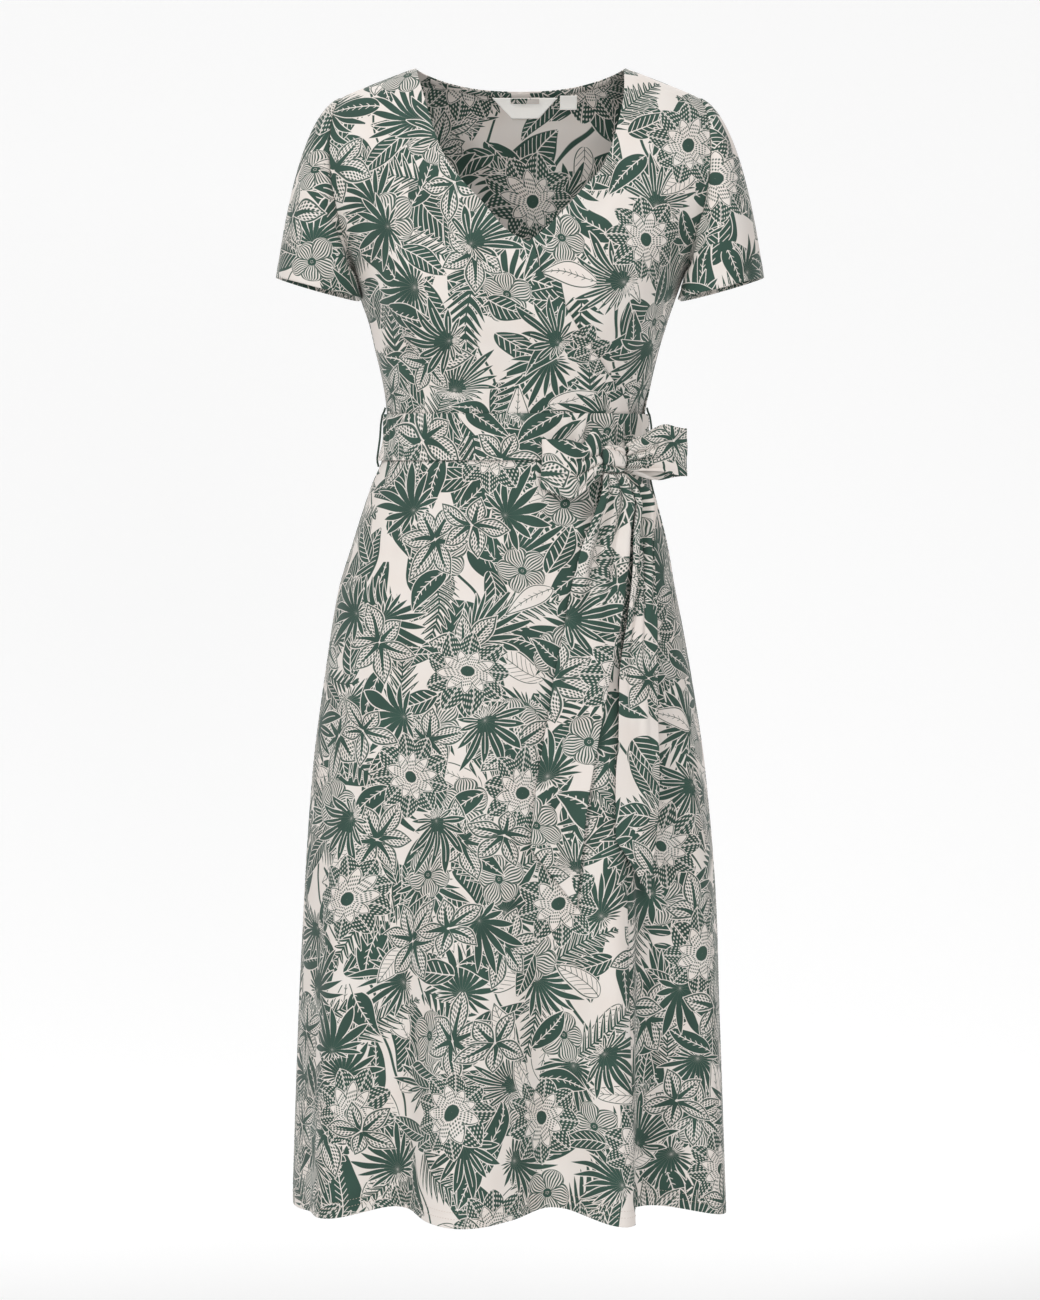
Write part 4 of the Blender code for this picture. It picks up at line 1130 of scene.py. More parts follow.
# %% The hanging ends of the belt
TAIL_CLEARANCE, TAIL_RIPPLE, TAIL_DEEPEST, TAIL_WAVE, TAIL_WAVE_STEP = 3.4, 6.0, -1.2, 0.5, 31
TAIL_GAP, TAIL_PITCH, TAIL_ROWS, TAIL_CROWDING = 0.4, 1.5, 170, 1.15
# Drops between which a tail gathers, comes in from the front of the knot, loses its gathers, and
# begins to hang in waves of its own.
TAIL_GATHERED, TAIL_SETTLED, TAIL_SMOOTH, TAIL_FREE = (400, 430), (404, 470), (430, 640), (470, 560)
BELT_WIDTH = 46.0
Tail = namedtuple("Tail", "drop left right")
LONG_TAIL = (
    Tail(398, 75, 86), Tail(415, 72, 95), Tail(439, 66, 100), Tail(477, 55, 100),
    Tail(530, 44, 96), Tail(564, 39, 91), Tail(601, 32, 83), Tail(641, 26, 75),
    Tail(676, 20, 69), Tail(717, 14, 63), Tail(762, 10, 59), Tail(830, 9, 54),
)
SHORT_TAIL = (
    Tail(398, 87, 96), Tail(407, 92, 103), Tail(418, 98, 116), Tail(439, 103, 123), Tail(486, 104, 125),
    Tail(540, 100, 127), Tail(600, 92, 128), Tail(660, 90, 128), Tail(700, 87, 127),
    Tail(749, 86, 123), Tail(797, 85, 117), Tail(820, 85, 115),
)
LONG_TAIL_ENDS, SHORT_TAIL_ENDS = (766, 822), (757, 814)
Fold = namedtuple("Fold", "middle width depth first last")
LONG_TAIL_FOLDS = (
    Fold(0.14, 0.15, 4.2, 392, 600), Fold(0.36, 0.12, -4.2, 392, 540), Fold(0.58, 0.15, 3.8, 392, 590),
    Fold(0.80, 0.12, -3.6, 392, 530), Fold(0.95, 0.10, 2.4, 396, 560), Fold(0.30, 0.16, 1.7, 560, 780),
    Fold(0.70, 0.14, -1.4, 600, 790),
)
SHORT_TAIL_FOLDS = (
    Fold(0.42, 0.19, -9.5, 390, 456), Fold(0.14, 0.14, 4.2, 390, 560), Fold(0.74, 0.15, 4.6, 390, 580),
    Fold(0.93, 0.10, -2.6, 396, 540), Fold(0.50, 0.12, 2.6, 446, 640), Fold(0.28, 0.11, -2.4, 460, 660),
    Fold(0.66, 0.15, 1.4, 600, 780),
)


def make_tail(name, table, ends, flutes, stand_off, folds, shift):
    """A hanging end, gathered at the knot and cut slanting at its foot."""
    left, right = Profile(table, "left"), Profile(table, "right")
    columns, rows = edged(BELT_WIDTH, TAIL_PITCH, STRIP_STEPS), np.linspace(0, 1, TAIL_ROWS)
    share, row = np.meshgrid(columns, rows)
    foot = ends[0] + (ends[1] - ends[0]) * share
    offset = table[0].left + (table[0].right - table[0].left) * share - KNOT_ACROSS
    top = KNOT_DROP + knot_foot(offset) + SEAM_GAP + TAIL_GAP
    drop = top + (foot - top) * row**TAIL_CROWDING
    across = left.at(drop) + (right.at(drop) - left.at(drop)) * share
    gathered = ease(*TAIL_GATHERED, drop) * (1 - ease(*TAIL_SMOOTH, drop))
    stand = TAIL_RIPPLE * gathered * (1 + np.cos(2 * np.pi * share)) / 2
    for fold in folds:
        along = (drop - fold.first) / (fold.last - fold.first)
        strength = ease(0, 0.2, along) * ease(0, 0.5, 1 - along)
        stand = stand + fold.depth * swell(share - fold.middle, fold.width) * strength
    stand = np.maximum(stand, TAIL_DEEPEST) + stand_off * ease(TAIL_SMOOTH[0], HEM_DROP, drop)
    ripple = 1 + np.sin(drop / TAIL_WAVE_STEP + 3 * share)
    stand = stand + TAIL_WAVE * ripple * ease(*TAIL_FREE, drop)
    bearing = bearing_at(across, drop)
    out_of_knot = KNOT_SIZE[1] / 2 * (1 - ease(*TAIL_SETTLED, drop))
    lift = TAIL_CLEARANCE + out_of_knot + stand + flute_depth(flutes, bearing, drop)
    lift = lift + np.maximum(crease_lift(across, drop, SKIRT_CREASES), 0)
    points = body_point(bearing, drop, lift)
    guess = np.stack((share * BELT_WIDTH, -(drop - KNOT_DROP)), axis=-1)
    return make_strip(name, points[:, ::-1], guess[:, ::-1], shift)


long_tail = make_tail(
    "long_tail", LONG_TAIL, LONG_TAIL_ENDS, OVER_FLUTES, 0.0, LONG_TAIL_FOLDS, (1420, 2980),
)
short_tail = make_tail(
    "short_tail", SHORT_TAIL, SHORT_TAIL_ENDS, (), 24.0, SHORT_TAIL_FOLDS, (1660, 2780),
)

# %% [markdown]
# ## Inside the back neck
# A narrow binding covers the raw edge of the back neck, and the label and its tabs are sewn to
# it. They are made from points of the back bodice, moved inwards by the thickness of the cloth,
# so they follow its curve. The label stays bare.

# %% Binding and labels
TRIM, SEWN_ON, LABEL_BULGE = 0.8, 0.4, 0.35
TRIM_WALL = TRIM * 0.6
PROBE = 0.5  # how far to each side the slope of the cloth is measured
PATCH_COLUMNS, PATCH_ROWS, BINDING_COLUMNS = 41, 25, 161
BINDING_SHORT, BINDING_ROLL = 12, 0.25  # how far its ends stop before the neck points, and its roundness
BINDING_ROWS = (0.8, 1.2, 1.8, 2.7, 3.6, 4.2, 4.6)
Patch = namedtuple("Patch", "name middle top bottom top_half bottom_half clear shift")
PATCHES = (
    Patch("label", 5.0, 22.6, 42.5, 33, 13.5, SEWN_ON, (0, 0)),
    Patch("tab", 5.0, 22.6, 27.5, 14.5, 14.5, 2 * SEWN_ON + TRIM, (700, 3000)),
    Patch("small_tab", 49, 20.5, 34, 8.5, 8.5, SEWN_ON, (0, 0)),
)


def inside_back(across, drop, clear):
    """Points this far inside the inner face of the back, in rows that run down."""
    bearing = bearing_at(across, drop, back=True)
    points = back_place(bearing, drop)
    wider = back_place(bearing + PROBE, drop) - back_place(bearing - PROBE, drop)
    deeper = back_place(bearing, drop + PROBE) - back_place(bearing, drop - PROBE)
    inward = np.cross(deeper, wider)
    inward /= np.linalg.norm(inward, axis=-1, keepdims=True)
    return points + inward * np.expand_dims(CAD_CLOTH + clear + 0 * drop, -1)


def make_patch(patch):
    share, row = np.meshgrid(np.linspace(-1, 1, PATCH_COLUMNS), np.linspace(0, 1, PATCH_ROWS))
    drop = patch.top + (patch.bottom - patch.top) * row
    half = patch.top_half + (patch.bottom_half - patch.top_half) * row
    across = patch.middle + half * share
    clear = patch.clear + LABEL_BULGE * swell(share, 1) * row * ease(0, 1, row)
    points = inside_back(across, drop, clear)
    guess = np.stack((across, -drop), axis=-1)
    return make_strip(patch.name, points, guess, patch.shift, TRIM_WALL)


def back_neck_drop(across):
    return BACK_NECK_DROP * (1 - np.minimum(np.abs(across) / NECK_POINT, 1) ** (1 / NECK_ROUNDNESS))


def make_binding():
    half = NECK_POINT - BINDING_SHORT
    across, below = np.meshgrid(np.linspace(-half, half, BINDING_COLUMNS), BINDING_ROWS)
    middle = (BINDING_ROWS[0] + BINDING_ROWS[-1]) / 2
    rolled = BINDING_ROLL * swell((below - middle) / (BINDING_ROWS[-1] - middle), 1.1)
    points = inside_back(across, back_neck_drop(across) + below, SEWN_ON + rolled)
    guess = np.stack((across, -below), axis=-1)
    return make_strip("neck_binding", points, guess, (260, 3010), TRIM_WALL)


label, tab, small_tab = (make_patch(patch) for patch in PATCHES)
neck_binding = make_binding()

# %% [markdown]
# ## Thread
# A hem on jersey is sewn with two parallel rows of stitches, and a thread loop at each side seam
# holds the belt. Both repeat along a path, which is what Geometry Nodes are for. One tree lays
# stitches along a line, and another twists three strands round one. Each tree is built here with
# named sizes, and its result is turned into a plain mesh.

# %% Parts of a node tree
def new_tree(name, sizes):
    """An empty geometry tree with a mesh in, a mesh out and a named input for each size."""
    tree = bpy.data.node_groups.new(name, "GeometryNodeTree")
    face = tree.interface
    face.new_socket("Geometry", in_out="INPUT", socket_type="NodeSocketGeometry")
    for size, value in sizes.items():
        face.new_socket(size, in_out="INPUT", socket_type="NodeSocketFloat").default_value = value
    face.new_socket("Thread", in_out="INPUT", socket_type="NodeSocketMaterial")
    face.new_socket("Geometry", in_out="OUTPUT", socket_type="NodeSocketGeometry")
    return tree, tree.nodes.new("NodeGroupInput"), tree.nodes.new("NodeGroupOutput")


def add(tree, kind, settings=None, **inputs):
    """Adds a node. A setting is one of its properties, and an input a value or another socket."""
    node = tree.nodes.new(kind)
    for name, value in (settings or {}).items():
        setattr(node, name, value)
    for name, value in inputs.items():
        socket = node.inputs[name.replace("_", " ")]
        if isinstance(value, bpy.types.NodeSocket):
            tree.links.new(value, socket)
        else:
            socket.default_value = value
    return node


def finish_tree(tree, group, end, thread):
    """Makes real faces of the thread, smooth, with its material, and sends them out of the tree."""
    real = add(tree, "GeometryNodeRealizeInstances", Geometry=thread)
    smooth = add(tree, "GeometryNodeSetShadeSmooth", Geometry=real.outputs["Geometry"])
    coated = add(
        tree, "GeometryNodeSetMaterial", Geometry=smooth.outputs["Geometry"],
        Material=group.outputs["Thread"],
    )
    tree.links.new(coated.outputs["Geometry"], end.inputs["Geometry"])

# %% A tree of stitches
def stitch_tree():
    sizes = {"Pitch": 0.003, "Length": 0.0021, "Radius": 0.0003}
    tree, group, end = new_tree("Stitches along a line", sizes)
    line = add(tree, "GeometryNodeMeshToCurve", Mesh=group.outputs["Geometry"])
    spaced = add(
        tree, "GeometryNodeResampleCurve", {"mode": "LENGTH"}, Curve=line.outputs["Curve"],
        Length=group.outputs["Pitch"],
    )
    ball = add(tree, "GeometryNodeMeshUVSphere", Segments=6, Rings=4, Radius=1.0)
    tangent = add(tree, "GeometryNodeInputTangent")
    aligned = add(
        tree, "FunctionNodeAlignRotationToVector", {"axis": "Z"}, Vector=tangent.outputs["Tangent"],
    )
    half = add(tree, "ShaderNodeMath", {"operation": "MULTIPLY"})
    tree.links.new(group.outputs["Length"], half.inputs[0])
    half.inputs[1].default_value = 0.5
    radius = group.outputs["Radius"]
    shape = add(tree, "ShaderNodeCombineXYZ", X=radius, Y=radius, Z=half.outputs[0])
    stitches = add(
        tree, "GeometryNodeInstanceOnPoints", Points=spaced.outputs["Curve"], Instance=ball.outputs["Mesh"],
        Rotation=aligned.outputs["Rotation"], Scale=shape.outputs["Vector"],
    )
    finish_tree(tree, group, end, stitches.outputs["Instances"])
    return tree


STITCHES = stitch_tree()
print("nodes in the tree of stitches:", len(STITCHES.nodes))

# %% A tree of twisted strands
STRANDS, STRAND_POINTS = 3, 160


def strand(tree, group, line, phase):
    """One strand: the path pushed sideways in a circle that turns as it goes along."""
    along = add(tree, "GeometryNodeSplineParameter")
    normal, tangent = add(tree, "GeometryNodeInputNormal"), add(tree, "GeometryNodeInputTangent")
    turns = add(tree, "ShaderNodeMath", {"operation": "DIVIDE"})
    tree.links.new(along.outputs["Length"], turns.inputs[0])
    tree.links.new(group.outputs["Twist"], turns.inputs[1])
    angle = add(tree, "ShaderNodeMath", {"operation": "MULTIPLY_ADD"})
    tree.links.new(turns.outputs[0], angle.inputs[0])
    angle.inputs[1].default_value, angle.inputs[2].default_value = 2 * math.pi, phase
    turned = add(
        tree, "ShaderNodeVectorRotate", {"rotation_type": "AXIS_ANGLE"}, Vector=normal.outputs["Normal"],
        Axis=tangent.outputs["Tangent"], Angle=angle.outputs[0],
    )
    push = add(tree, "ShaderNodeVectorMath", {"operation": "SCALE"}, Scale=group.outputs["Radius"])
    tree.links.new(turned.outputs["Vector"], push.inputs[0])
    moved = add(tree, "GeometryNodeSetPosition", Geometry=line, Offset=push.outputs["Vector"])
    profile = add(tree, "GeometryNodeCurvePrimitiveCircle", Resolution=6, Radius=group.outputs["Radius"])
    tube = add(
        tree, "GeometryNodeCurveToMesh", Curve=moved.outputs["Geometry"], Fill_Caps=True,
        Profile_Curve=profile.outputs["Curve"],
    )
    return tube.outputs["Mesh"]


def twist_tree():
    tree, group, end = new_tree("Twisted strands", {"Radius": 0.00055, "Twist": 0.0042})
    line = add(tree, "GeometryNodeMeshToCurve", Mesh=group.outputs["Geometry"])
    fine = add(tree, "GeometryNodeResampleCurve", Curve=line.outputs["Curve"], Count=STRAND_POINTS)
    joined = add(tree, "GeometryNodeJoinGeometry")
    for k in range(STRANDS):
        tube = strand(tree, group, fine.outputs["Curve"], 2 * math.pi * k / STRANDS)
        tree.links.new(tube, joined.inputs["Geometry"])
    finish_tree(tree, group, end, joined.outputs["Geometry"])
    return tree


TWIST = twist_tree()
print("nodes in the tree of strands:", len(TWIST.nodes))

# %% Running a tree along a line
def follow(name, lines, tree, material, **sizes):
    """Runs a tree along some lines of points in millimetres, and keeps the result as a mesh."""
    mesh = bpy.data.meshes.new(name + "_path")
    points = [tuple(p * MM) for line in lines for p in line]
    edges, used = [], 0
    for line in lines:
        edges += [(used + k, used + k + 1) for k in range(len(line) - 1)]
        used += len(line)
    mesh.from_pydata(points, edges, [])
    path = bpy.data.objects.new(name + "_path", mesh)
    DRESS.objects.link(path)
    modifier = path.modifiers.new("Thread", "NODES")
    modifier.node_group = tree
    ids = {item.name: item.identifier for item in tree.interface.items_tree if item.in_out == "INPUT"}
    modifier[ids["Thread"]] = material
    for size, value in sizes.items():
        modifier[ids[size]] = value
    done = bpy.data.meshes.new_from_object(path.evaluated_get(bpy.context.evaluated_depsgraph_get()))
    bpy.data.objects.remove(path)
    done.name = name
    obj = bpy.data.objects.new(name, done)
    DRESS.objects.link(obj)
    print(f"{name}: {len(done.polygons)} faces")
    return obj

# %% [markdown]
# ## The print
# The jersey is printed all over with line-cut tropical flowers and leaves in one green on cream.
# An image would be the usual way, but this print is drawn by sums inside the material, so that it
# stays sharp at any distance and belongs to nobody. Each kind of motif is scattered in its own
# loose grid: a cell of the grid holds one flower or leaf, moved and turned by random numbers, and
# small enough never to be cut off. The kinds are then laid over each other from the back to the
# front, each with a thin cream line round it, as a carved block would leave. A small set of
# Python operators writes the Math nodes, because hundreds of them by name couldn't be read.

# %% Sums that make Math nodes
class Value:
    """A number on the cloth. Adding or multiplying it adds a Math node to the tree."""

    tree = None

    def __init__(self, socket):
        self.socket = socket

    def __add__(self, other):
        return maths("ADD", self, other)

    def __sub__(self, other):
        return maths("SUBTRACT", self, other)

    def __rsub__(self, other):
        return maths("SUBTRACT", other, self)

    def __mul__(self, other):
        return maths("MULTIPLY", self, other)

    def __truediv__(self, other):
        return maths("DIVIDE", self, other)

    def __pow__(self, other):
        return maths("POWER", self, other)

    def __gt__(self, other):
        return maths("GREATER_THAN", self, other)

    __radd__, __rmul__ = __add__, __mul__


def plug(value, socket):
    if isinstance(value, Value):
        Value.tree.links.new(value.socket, socket)
    else:
        socket.default_value = value


def maths(kind, *values, clamp=False):
    node = Value.tree.nodes.new("ShaderNodeMath")
    node.operation, node.use_clamp = kind, clamp
    for value, socket in zip(values, node.inputs):
        plug(value, socket)
    return Value(node.outputs[0])


def least(a, b):
    return maths("MINIMUM", a, b)


def most(a, b):
    return maths("MAXIMUM", a, b)


def size_of(a):
    return maths("ABSOLUTE", a)


def wave(a):
    return maths("SINE", a)


def root_of(a):
    return maths("SQRT", a)


def limited(a):
    """The same number, kept between 0 and 1."""
    return maths("ADD", a, 0.0, clamp=True)


def sunk(distance, soft=0.35):
    """1 where a distance is below 0 and 0 where it is above, with an edge as soft as ink."""
    return maths("MULTIPLY_ADD", distance, -1 / soft, 0.5, clamp=True)


def blend(a, b, share):
    return a + (b - a) * share


def vector(x, y, z=0.0):
    node = Value.tree.nodes.new("ShaderNodeCombineXYZ")
    for value, socket in zip((x, y, z), node.inputs):
        plug(value, socket)
    return Value(node.outputs[0])


def random_spots(place):
    """Three random numbers that stay the same inside each whole step of the place."""
    node = Value.tree.nodes.new("ShaderNodeTexWhiteNoise")
    node.noise_dimensions = "2D"
    plug(place, node.inputs["Vector"])
    parts = Value.tree.nodes.new("ShaderNodeSeparateColor")
    Value.tree.links.new(node.outputs["Color"], parts.inputs[0])
    return [Value(socket) for socket in parts.outputs]


def drift(x, y, scale, seed):
    """A soft random number from 0 to 1 that wanders over the cloth."""
    node = Value.tree.nodes.new("ShaderNodeTexNoise")
    plug(vector(x, y, seed), node.inputs["Vector"])
    node.inputs["Scale"].default_value = scale
    node.inputs["Detail"].default_value = 0.0
    return Value(node.outputs["Fac"])


# %% Loose grids and the ways to look at a motif
JITTER = 0.16  # how far a motif may be moved from the middle of its cell, as a share of the cell


def scatter(x, y, cell, seed):
    """Place inside the cell's own motif, in millimetres, and three random numbers of that motif."""
    down = y / cell + seed * 3.77
    row = maths("FLOOR", down)
    over = x / cell + row * 0.5 + seed * 7.31
    column = maths("FLOOR", over)
    a, b, c = random_spots(vector(column + seed * 17.0, row))
    inner_x = (over - column - 0.5 + (a - 0.5) * JITTER) * cell
    inner_y = (down - row - 0.5 + (b - 0.5) * JITTER) * cell
    return inner_x, inner_y, a, b, c


def turned(x, y, turn):
    """The same place seen by a motif that is turned by this share of a full turn."""
    c, s = maths("COSINE", turn * math.tau), maths("SINE", turn * math.tau)
    return x * c + y * s, y * c - x * s


def petal(x, y, count, turn):
    """The nearest of a ring of petals: place along it, place across it, and its number."""
    radius = root_of(x * x + y * y)
    angle = maths("ARCTAN2", y, x) * (count / math.tau) + turn * count
    number = maths("FLOOR", angle + 0.5)
    off = (angle - number) * (math.tau / count)
    return radius * maths("COSINE", off), radius * wave(off), number, radius, off


def pointed(along, length, half, lean, fullness):
    """Half the width of a petal or leaf that is pointed at both ends. lean below 1 fattens its base."""
    return wave(limited(along / length) ** lean * math.pi) ** fullness * half


def leaf_shape(along, across, length, half, lean, fullness):
    """Distance out of a leaf that starts at 0 and ends at length."""
    width = pointed(along, length, half, lean, fullness)
    return most(size_of(across) - width, most(along - length, along * -1.0)), width


def stripes(place, pitch, width):
    """Distance out of the nearest of many even stripes."""
    return size_of(maths("FRACT", place / pitch) - 0.5) * pitch - width / 2


def dashes(along, across, long, wide, size):
    """Distance out of small dashes that lie along a petal in loose rows."""
    row = maths("FLOOR", across / wide)
    step = along / long + wave(row * 12.9) * 0.5
    x = (maths("FRACT", step) - 0.5) * long
    y = (maths("FRACT", across / wide) - 0.5) * wide
    return root_of(x * x * (wide / long) ** 2 * 1.2 + y * y) - size


# %% Leaves
# Every motif is asked for with the place inside its cell and the cell's three random numbers.
def printed_leaf(x, y, a, b, c, length, half, pale_share=0.2):
    """A leaf with a midrib and side veins. Some are solid with pale veins, some only outlined."""
    x, y = turned(x, y, a * 7.0)
    y = y + x * x * ((b - 0.5) * (0.9 / length))
    along = x + length * 0.5
    out, width = leaf_shape(along, y, length, half, 0.72, 0.85)
    side = stripes(along - size_of(y) * 1.15, 6.4, 1.05)
    veins = least(size_of(y) - 0.5, most(side, size_of(y) - width * (0.30 + 0.55 * (b > 0.35))))
    pale = c > (1 - pale_share)
    drawn = most(sunk(veins + 0.15), 1 - sunk(out + 0.95))
    return out, blend(1 - sunk(veins), drawn, pale)


def pinnate_leaf(x, y, _, b, c, length, half):
    """A frond whose pointed leaflets slant away from a curved stem."""
    x, y = turned(x, y, b * 5.0)
    y = y + x * x * ((c - 0.5) * (1.1 / length))
    along = x + length * 0.5
    width = pointed(along, length, half, 0.62, 0.6)
    reach = limited(size_of(y) / most(width, 0.5))
    leaflet = stripes(along - size_of(y) * 0.85, 8.2, 0.0) - (1 - reach * reach) * 3.0
    ends = most(along - length, along * -1.0)
    out = most(least(most(leaflet, size_of(y) - width), size_of(y) - 0.7), ends)
    rib = most(size_of(stripes(along - size_of(y) * 0.85, 8.2, 0.0)) - 0.35, size_of(y) - width * 0.7)
    solid = sunk(b - 0.5, 0.02)
    return out, 1 - sunk(rib) * (1 - solid)


def palm_fan(x, y, a, b, _, radius, blades):
    """A fan of pointed blades, longest on one side, that part from a solid heart with pale ribs."""
    x, y = turned(x, y, a * 3.0)
    x = x + radius * 0.35
    y = y + x * x * ((b - 0.5) * (0.5 / radius))
    _, across, number, from_root, off = petal(x, y, blades, 0.5)
    longest = maths("COSINE", maths("ARCTAN2", y, x) * 0.5)
    length = radius * (0.30 + 1.15 * longest * longest) * (0.88 + 0.12 * wave(number * 4.0 + b * 9.0))
    half = (1 - limited(from_root / length) ** 2.0) * (math.pi / blades) * from_root * 1.1
    out = most(size_of(across) - half, from_root - length)
    rib = most(size_of(across) - 0.34, most(length * 0.26 - from_root, from_root - length * 0.78))
    part = most((math.pi / blades - size_of(off)) * from_root - 0.42, length * 0.36 - from_root)
    return out, 1 - most(sunk(rib) * (b > 0.6), sunk(part))


# %% Flowers
def speckled_lily(x, y, a, _, c, radius, count=6.0):
    """Pointed petals, each outlined, with a tapering dark streak and rows of dashes."""
    along, across, number, from_middle, _ = petal(x, y, count, a * 2.0)
    length = radius * (0.86 + 0.14 * wave(number * 2.4 + c * 20.0))
    bend = across + wave(along * 0.085 + number * 2.0) * 1.1
    out, _ = leaf_shape(along, bend, length, radius * 0.218, 1.05, 1.0)
    streak = size_of(bend) - (1 - along / (length * 0.86)) * radius * 0.075
    marks = most(dashes(along - size_of(bend) * 0.9, bend, 3.9, 2.2, 0.8), length * 0.10 - along)
    edge = sunk(most(size_of(out + 1.0) - 0.62, along * -1.0))
    lines = most(sunk(streak), most(edge, 1 - sunk(out + 0.5)))
    ink = most(lines, sunk(marks, 0.5) * (1 - sunk(out * -1.0 - 1.6)))
    return out, ink * (1 - sunk(from_middle - 1.3))


def lined_flower(x, y, _, b, c, radius):
    """Five round petals filled with fine lines that fan out from the middle."""
    along, across, number, from_middle, off = petal(x, y, 5.0, b * 2.0)
    length = radius * (0.93 + 0.07 * wave(number * 3.1 + c * 20.0))
    out, width = leaf_shape(along, across, length, radius * 0.43, 1.5, 0.52)
    border = (math.pi / 5 - size_of(off)) * from_middle - 0.55
    fan = across / most(width, 0.5)
    rays = stripes(fan + wave(along * 0.35) * 0.05, 0.25, 0.13) * width
    rays = most(rays, radius * 0.18 - from_middle)
    lines = most(sunk(least(rays, border), 0.6), 1 - sunk(out + 0.85))
    heart = sunk(from_middle - radius * 0.17) * (1 - sunk(from_middle - radius * 0.06))
    return out, most(lines, heart)


def dark_eyed_flower(x, y, a, _, c, radius):
    """Pale pointed petals with a solid dark middle, lying on larger dark speckled petals."""
    along, across, _, from_middle, _ = petal(x, y, 9.0, a)
    outer, _ = leaf_shape(along, across, radius, radius * 0.25, 1.25, 0.75)
    marks = dashes(along + size_of(across) * 0.6, across, 4.4, 2.3, 0.55)
    dark = 1 - most(sunk(marks, 0.5), sunk(size_of(across) - 0.4))
    along, across, number, _, _ = petal(x, y, 9.0, a + 0.0555)
    length = radius * (0.62 + 0.05 * wave(number * 5.0 + c * 9.0))
    inner, _ = leaf_shape(along, across, length, length * 0.205, 1.25, 0.7)
    marks = most(dashes(along, across, 3.4, 1.8, 0.56), along - length * 0.74)
    pale = most(1 - sunk(inner + 0.8), sunk(marks, 0.5))
    ink = blend(dark * (1 - sunk(inner - 0.7)), pale, sunk(inner))
    return least(outer, inner), most(ink, sunk(from_middle - radius * 0.15))


# %% The whole print
CREAM_LINE = 0.85
STEM_SPACING, STEM_SLANT, STEM_WIDTH = 88.0, 210.0, 0.016
SWAY_SCALE, SWAY_REACH, STEM_SWAY_SCALE, STEM_SWAY = 0.02, 16.0, 0.006, 1.3
NOWHERE = 900.0  # a distance that is far out of any motif

# Each layer: how its motif is drawn, the size of a cell, a number that shifts the cells, the
# motif's own sizes, which random number picks its cells, and the share of cells that have one.
Layer = namedtuple("Layer", "draw cell seed sizes number share")
PRINT_LAYERS = (
    Layer(printed_leaf, 76.0, 1.3, (84.0, 20.0, 0.1), 1, 0.97),
    Layer(printed_leaf, 58.0, 2.1, (66.0, 12.0), 2, 0.92),
    Layer(pinnate_leaf, 80.0, 3.2, (84.0, 21.0), 0, 0.82),
    Layer(palm_fan, 86.0, 5.4, (40.0, 23.0), 1, 0.8),
    Layer(lined_flower, 76.0, 6.6, (27.0,), 2, 0.45),
    Layer(printed_leaf, 52.0, 4.7, (52.0, 10.5), 1, 0.6),
    Layer(speckled_lily, 96.0, 7.9, (45.0,), 1, 0.5),
    Layer(palm_fan, 104.0, 8.3, (39.0, 15.0), 2, 0.55),
    Layer(dark_eyed_flower, 110.0, 9.1, (42.0,), 2, 0.45),
    Layer(speckled_lily, 100.0, 10.6, (39.0, 5.0), 0, 0.36),
)


def lay_over(ink, out, motif):
    """A motif printed over what is there, with a cream line round it."""
    return maths("MULTIPLY_ADD", ink, 1 - sunk(out - CREAM_LINE), motif * sunk(out))


def only_some(out, chance, share):
    """Keeps a motif in this share of the cells, by one of its random numbers."""
    return out + (chance > share) * NOWHERE


def tropical_print(x, y):
    """How much green ink lies at a place of the cloth, in millimetres."""
    sway_x, sway_y = drift(x, y, SWAY_SCALE, 1.0) - 0.5, drift(x, y, SWAY_SCALE, 9.0) - 0.5
    x, y = x + sway_x * SWAY_REACH, y + sway_y * SWAY_REACH
    stem = x / STEM_SPACING + y / STEM_SLANT + drift(x, y, STEM_SWAY_SCALE, 4.0) * STEM_SWAY
    ink = sunk((size_of(maths("FRACT", stem) - 0.5) - STEM_WIDTH) * STEM_SPACING, 0.5)
    for layer in PRINT_LAYERS:
        spot_x, spot_y, *chances = scatter(x, y, layer.cell, layer.seed)
        out, motif = layer.draw(spot_x, spot_y, *chances, *layer.sizes)
        ink = lay_over(ink, only_some(out, chances[layer.number], layer.share), motif)
    return ink


print("layers of the print:", len(PRINT_LAYERS))

# %% [markdown]
# ## Cloth, thread and tape
# The printed jersey is matt and soft. Its print comes from the flat cut of each panel, its fine
# knit is a small bump in two directions, and a little sheen stands for the fibres on its surface.
# The thread is a plain twisted cotton, and the label a smooth, bright white woven tape with a faint painted glow that
# keeps it bright in the shade.

# %% Material helpers
def srgb(red, green, blue):
    """A colour in the numbers of a screen, as Blender wants it."""
    parts = (value / 255 for value in (red, green, blue))
    return (*(((p + 0.055) / 1.055) ** 2.4 if p > 0.04045 else p / 12.92 for p in parts), 1.0)


def new_material(name, roughness, sheen):
    """A material with one shader, whose tree the sums are added to."""
    material = bpy.data.materials.new(name)
    material.use_nodes = True
    Value.tree = material.node_tree
    shader = material.node_tree.nodes["Principled BSDF"]
    shader.inputs["Roughness"].default_value = roughness
    shader.inputs["Sheen Weight"].default_value = sheen
    shader.inputs["Sheen Roughness"].default_value = 0.5
    return material, shader


def cut_place():
    """Place on the flat cut, in millimetres."""
    uv = Value.tree.nodes.new("ShaderNodeUVMap")
    uv.uv_map = "cut"
    parts = Value.tree.nodes.new("ShaderNodeSeparateXYZ")
    Value.tree.links.new(uv.outputs["UV"], parts.inputs[0])
    return Value(parts.outputs[0]) * 1000.0, Value(parts.outputs[1]) * 1000.0


def mixed(share, one, other):
    node = Value.tree.nodes.new("ShaderNodeMix")
    node.data_type = "RGBA"
    plug(share, node.inputs["Factor"])
    for colour, socket in ((one, node.inputs[6]), (other, node.inputs[7])):
        plug(colour, socket)
    return Value(node.outputs[2])


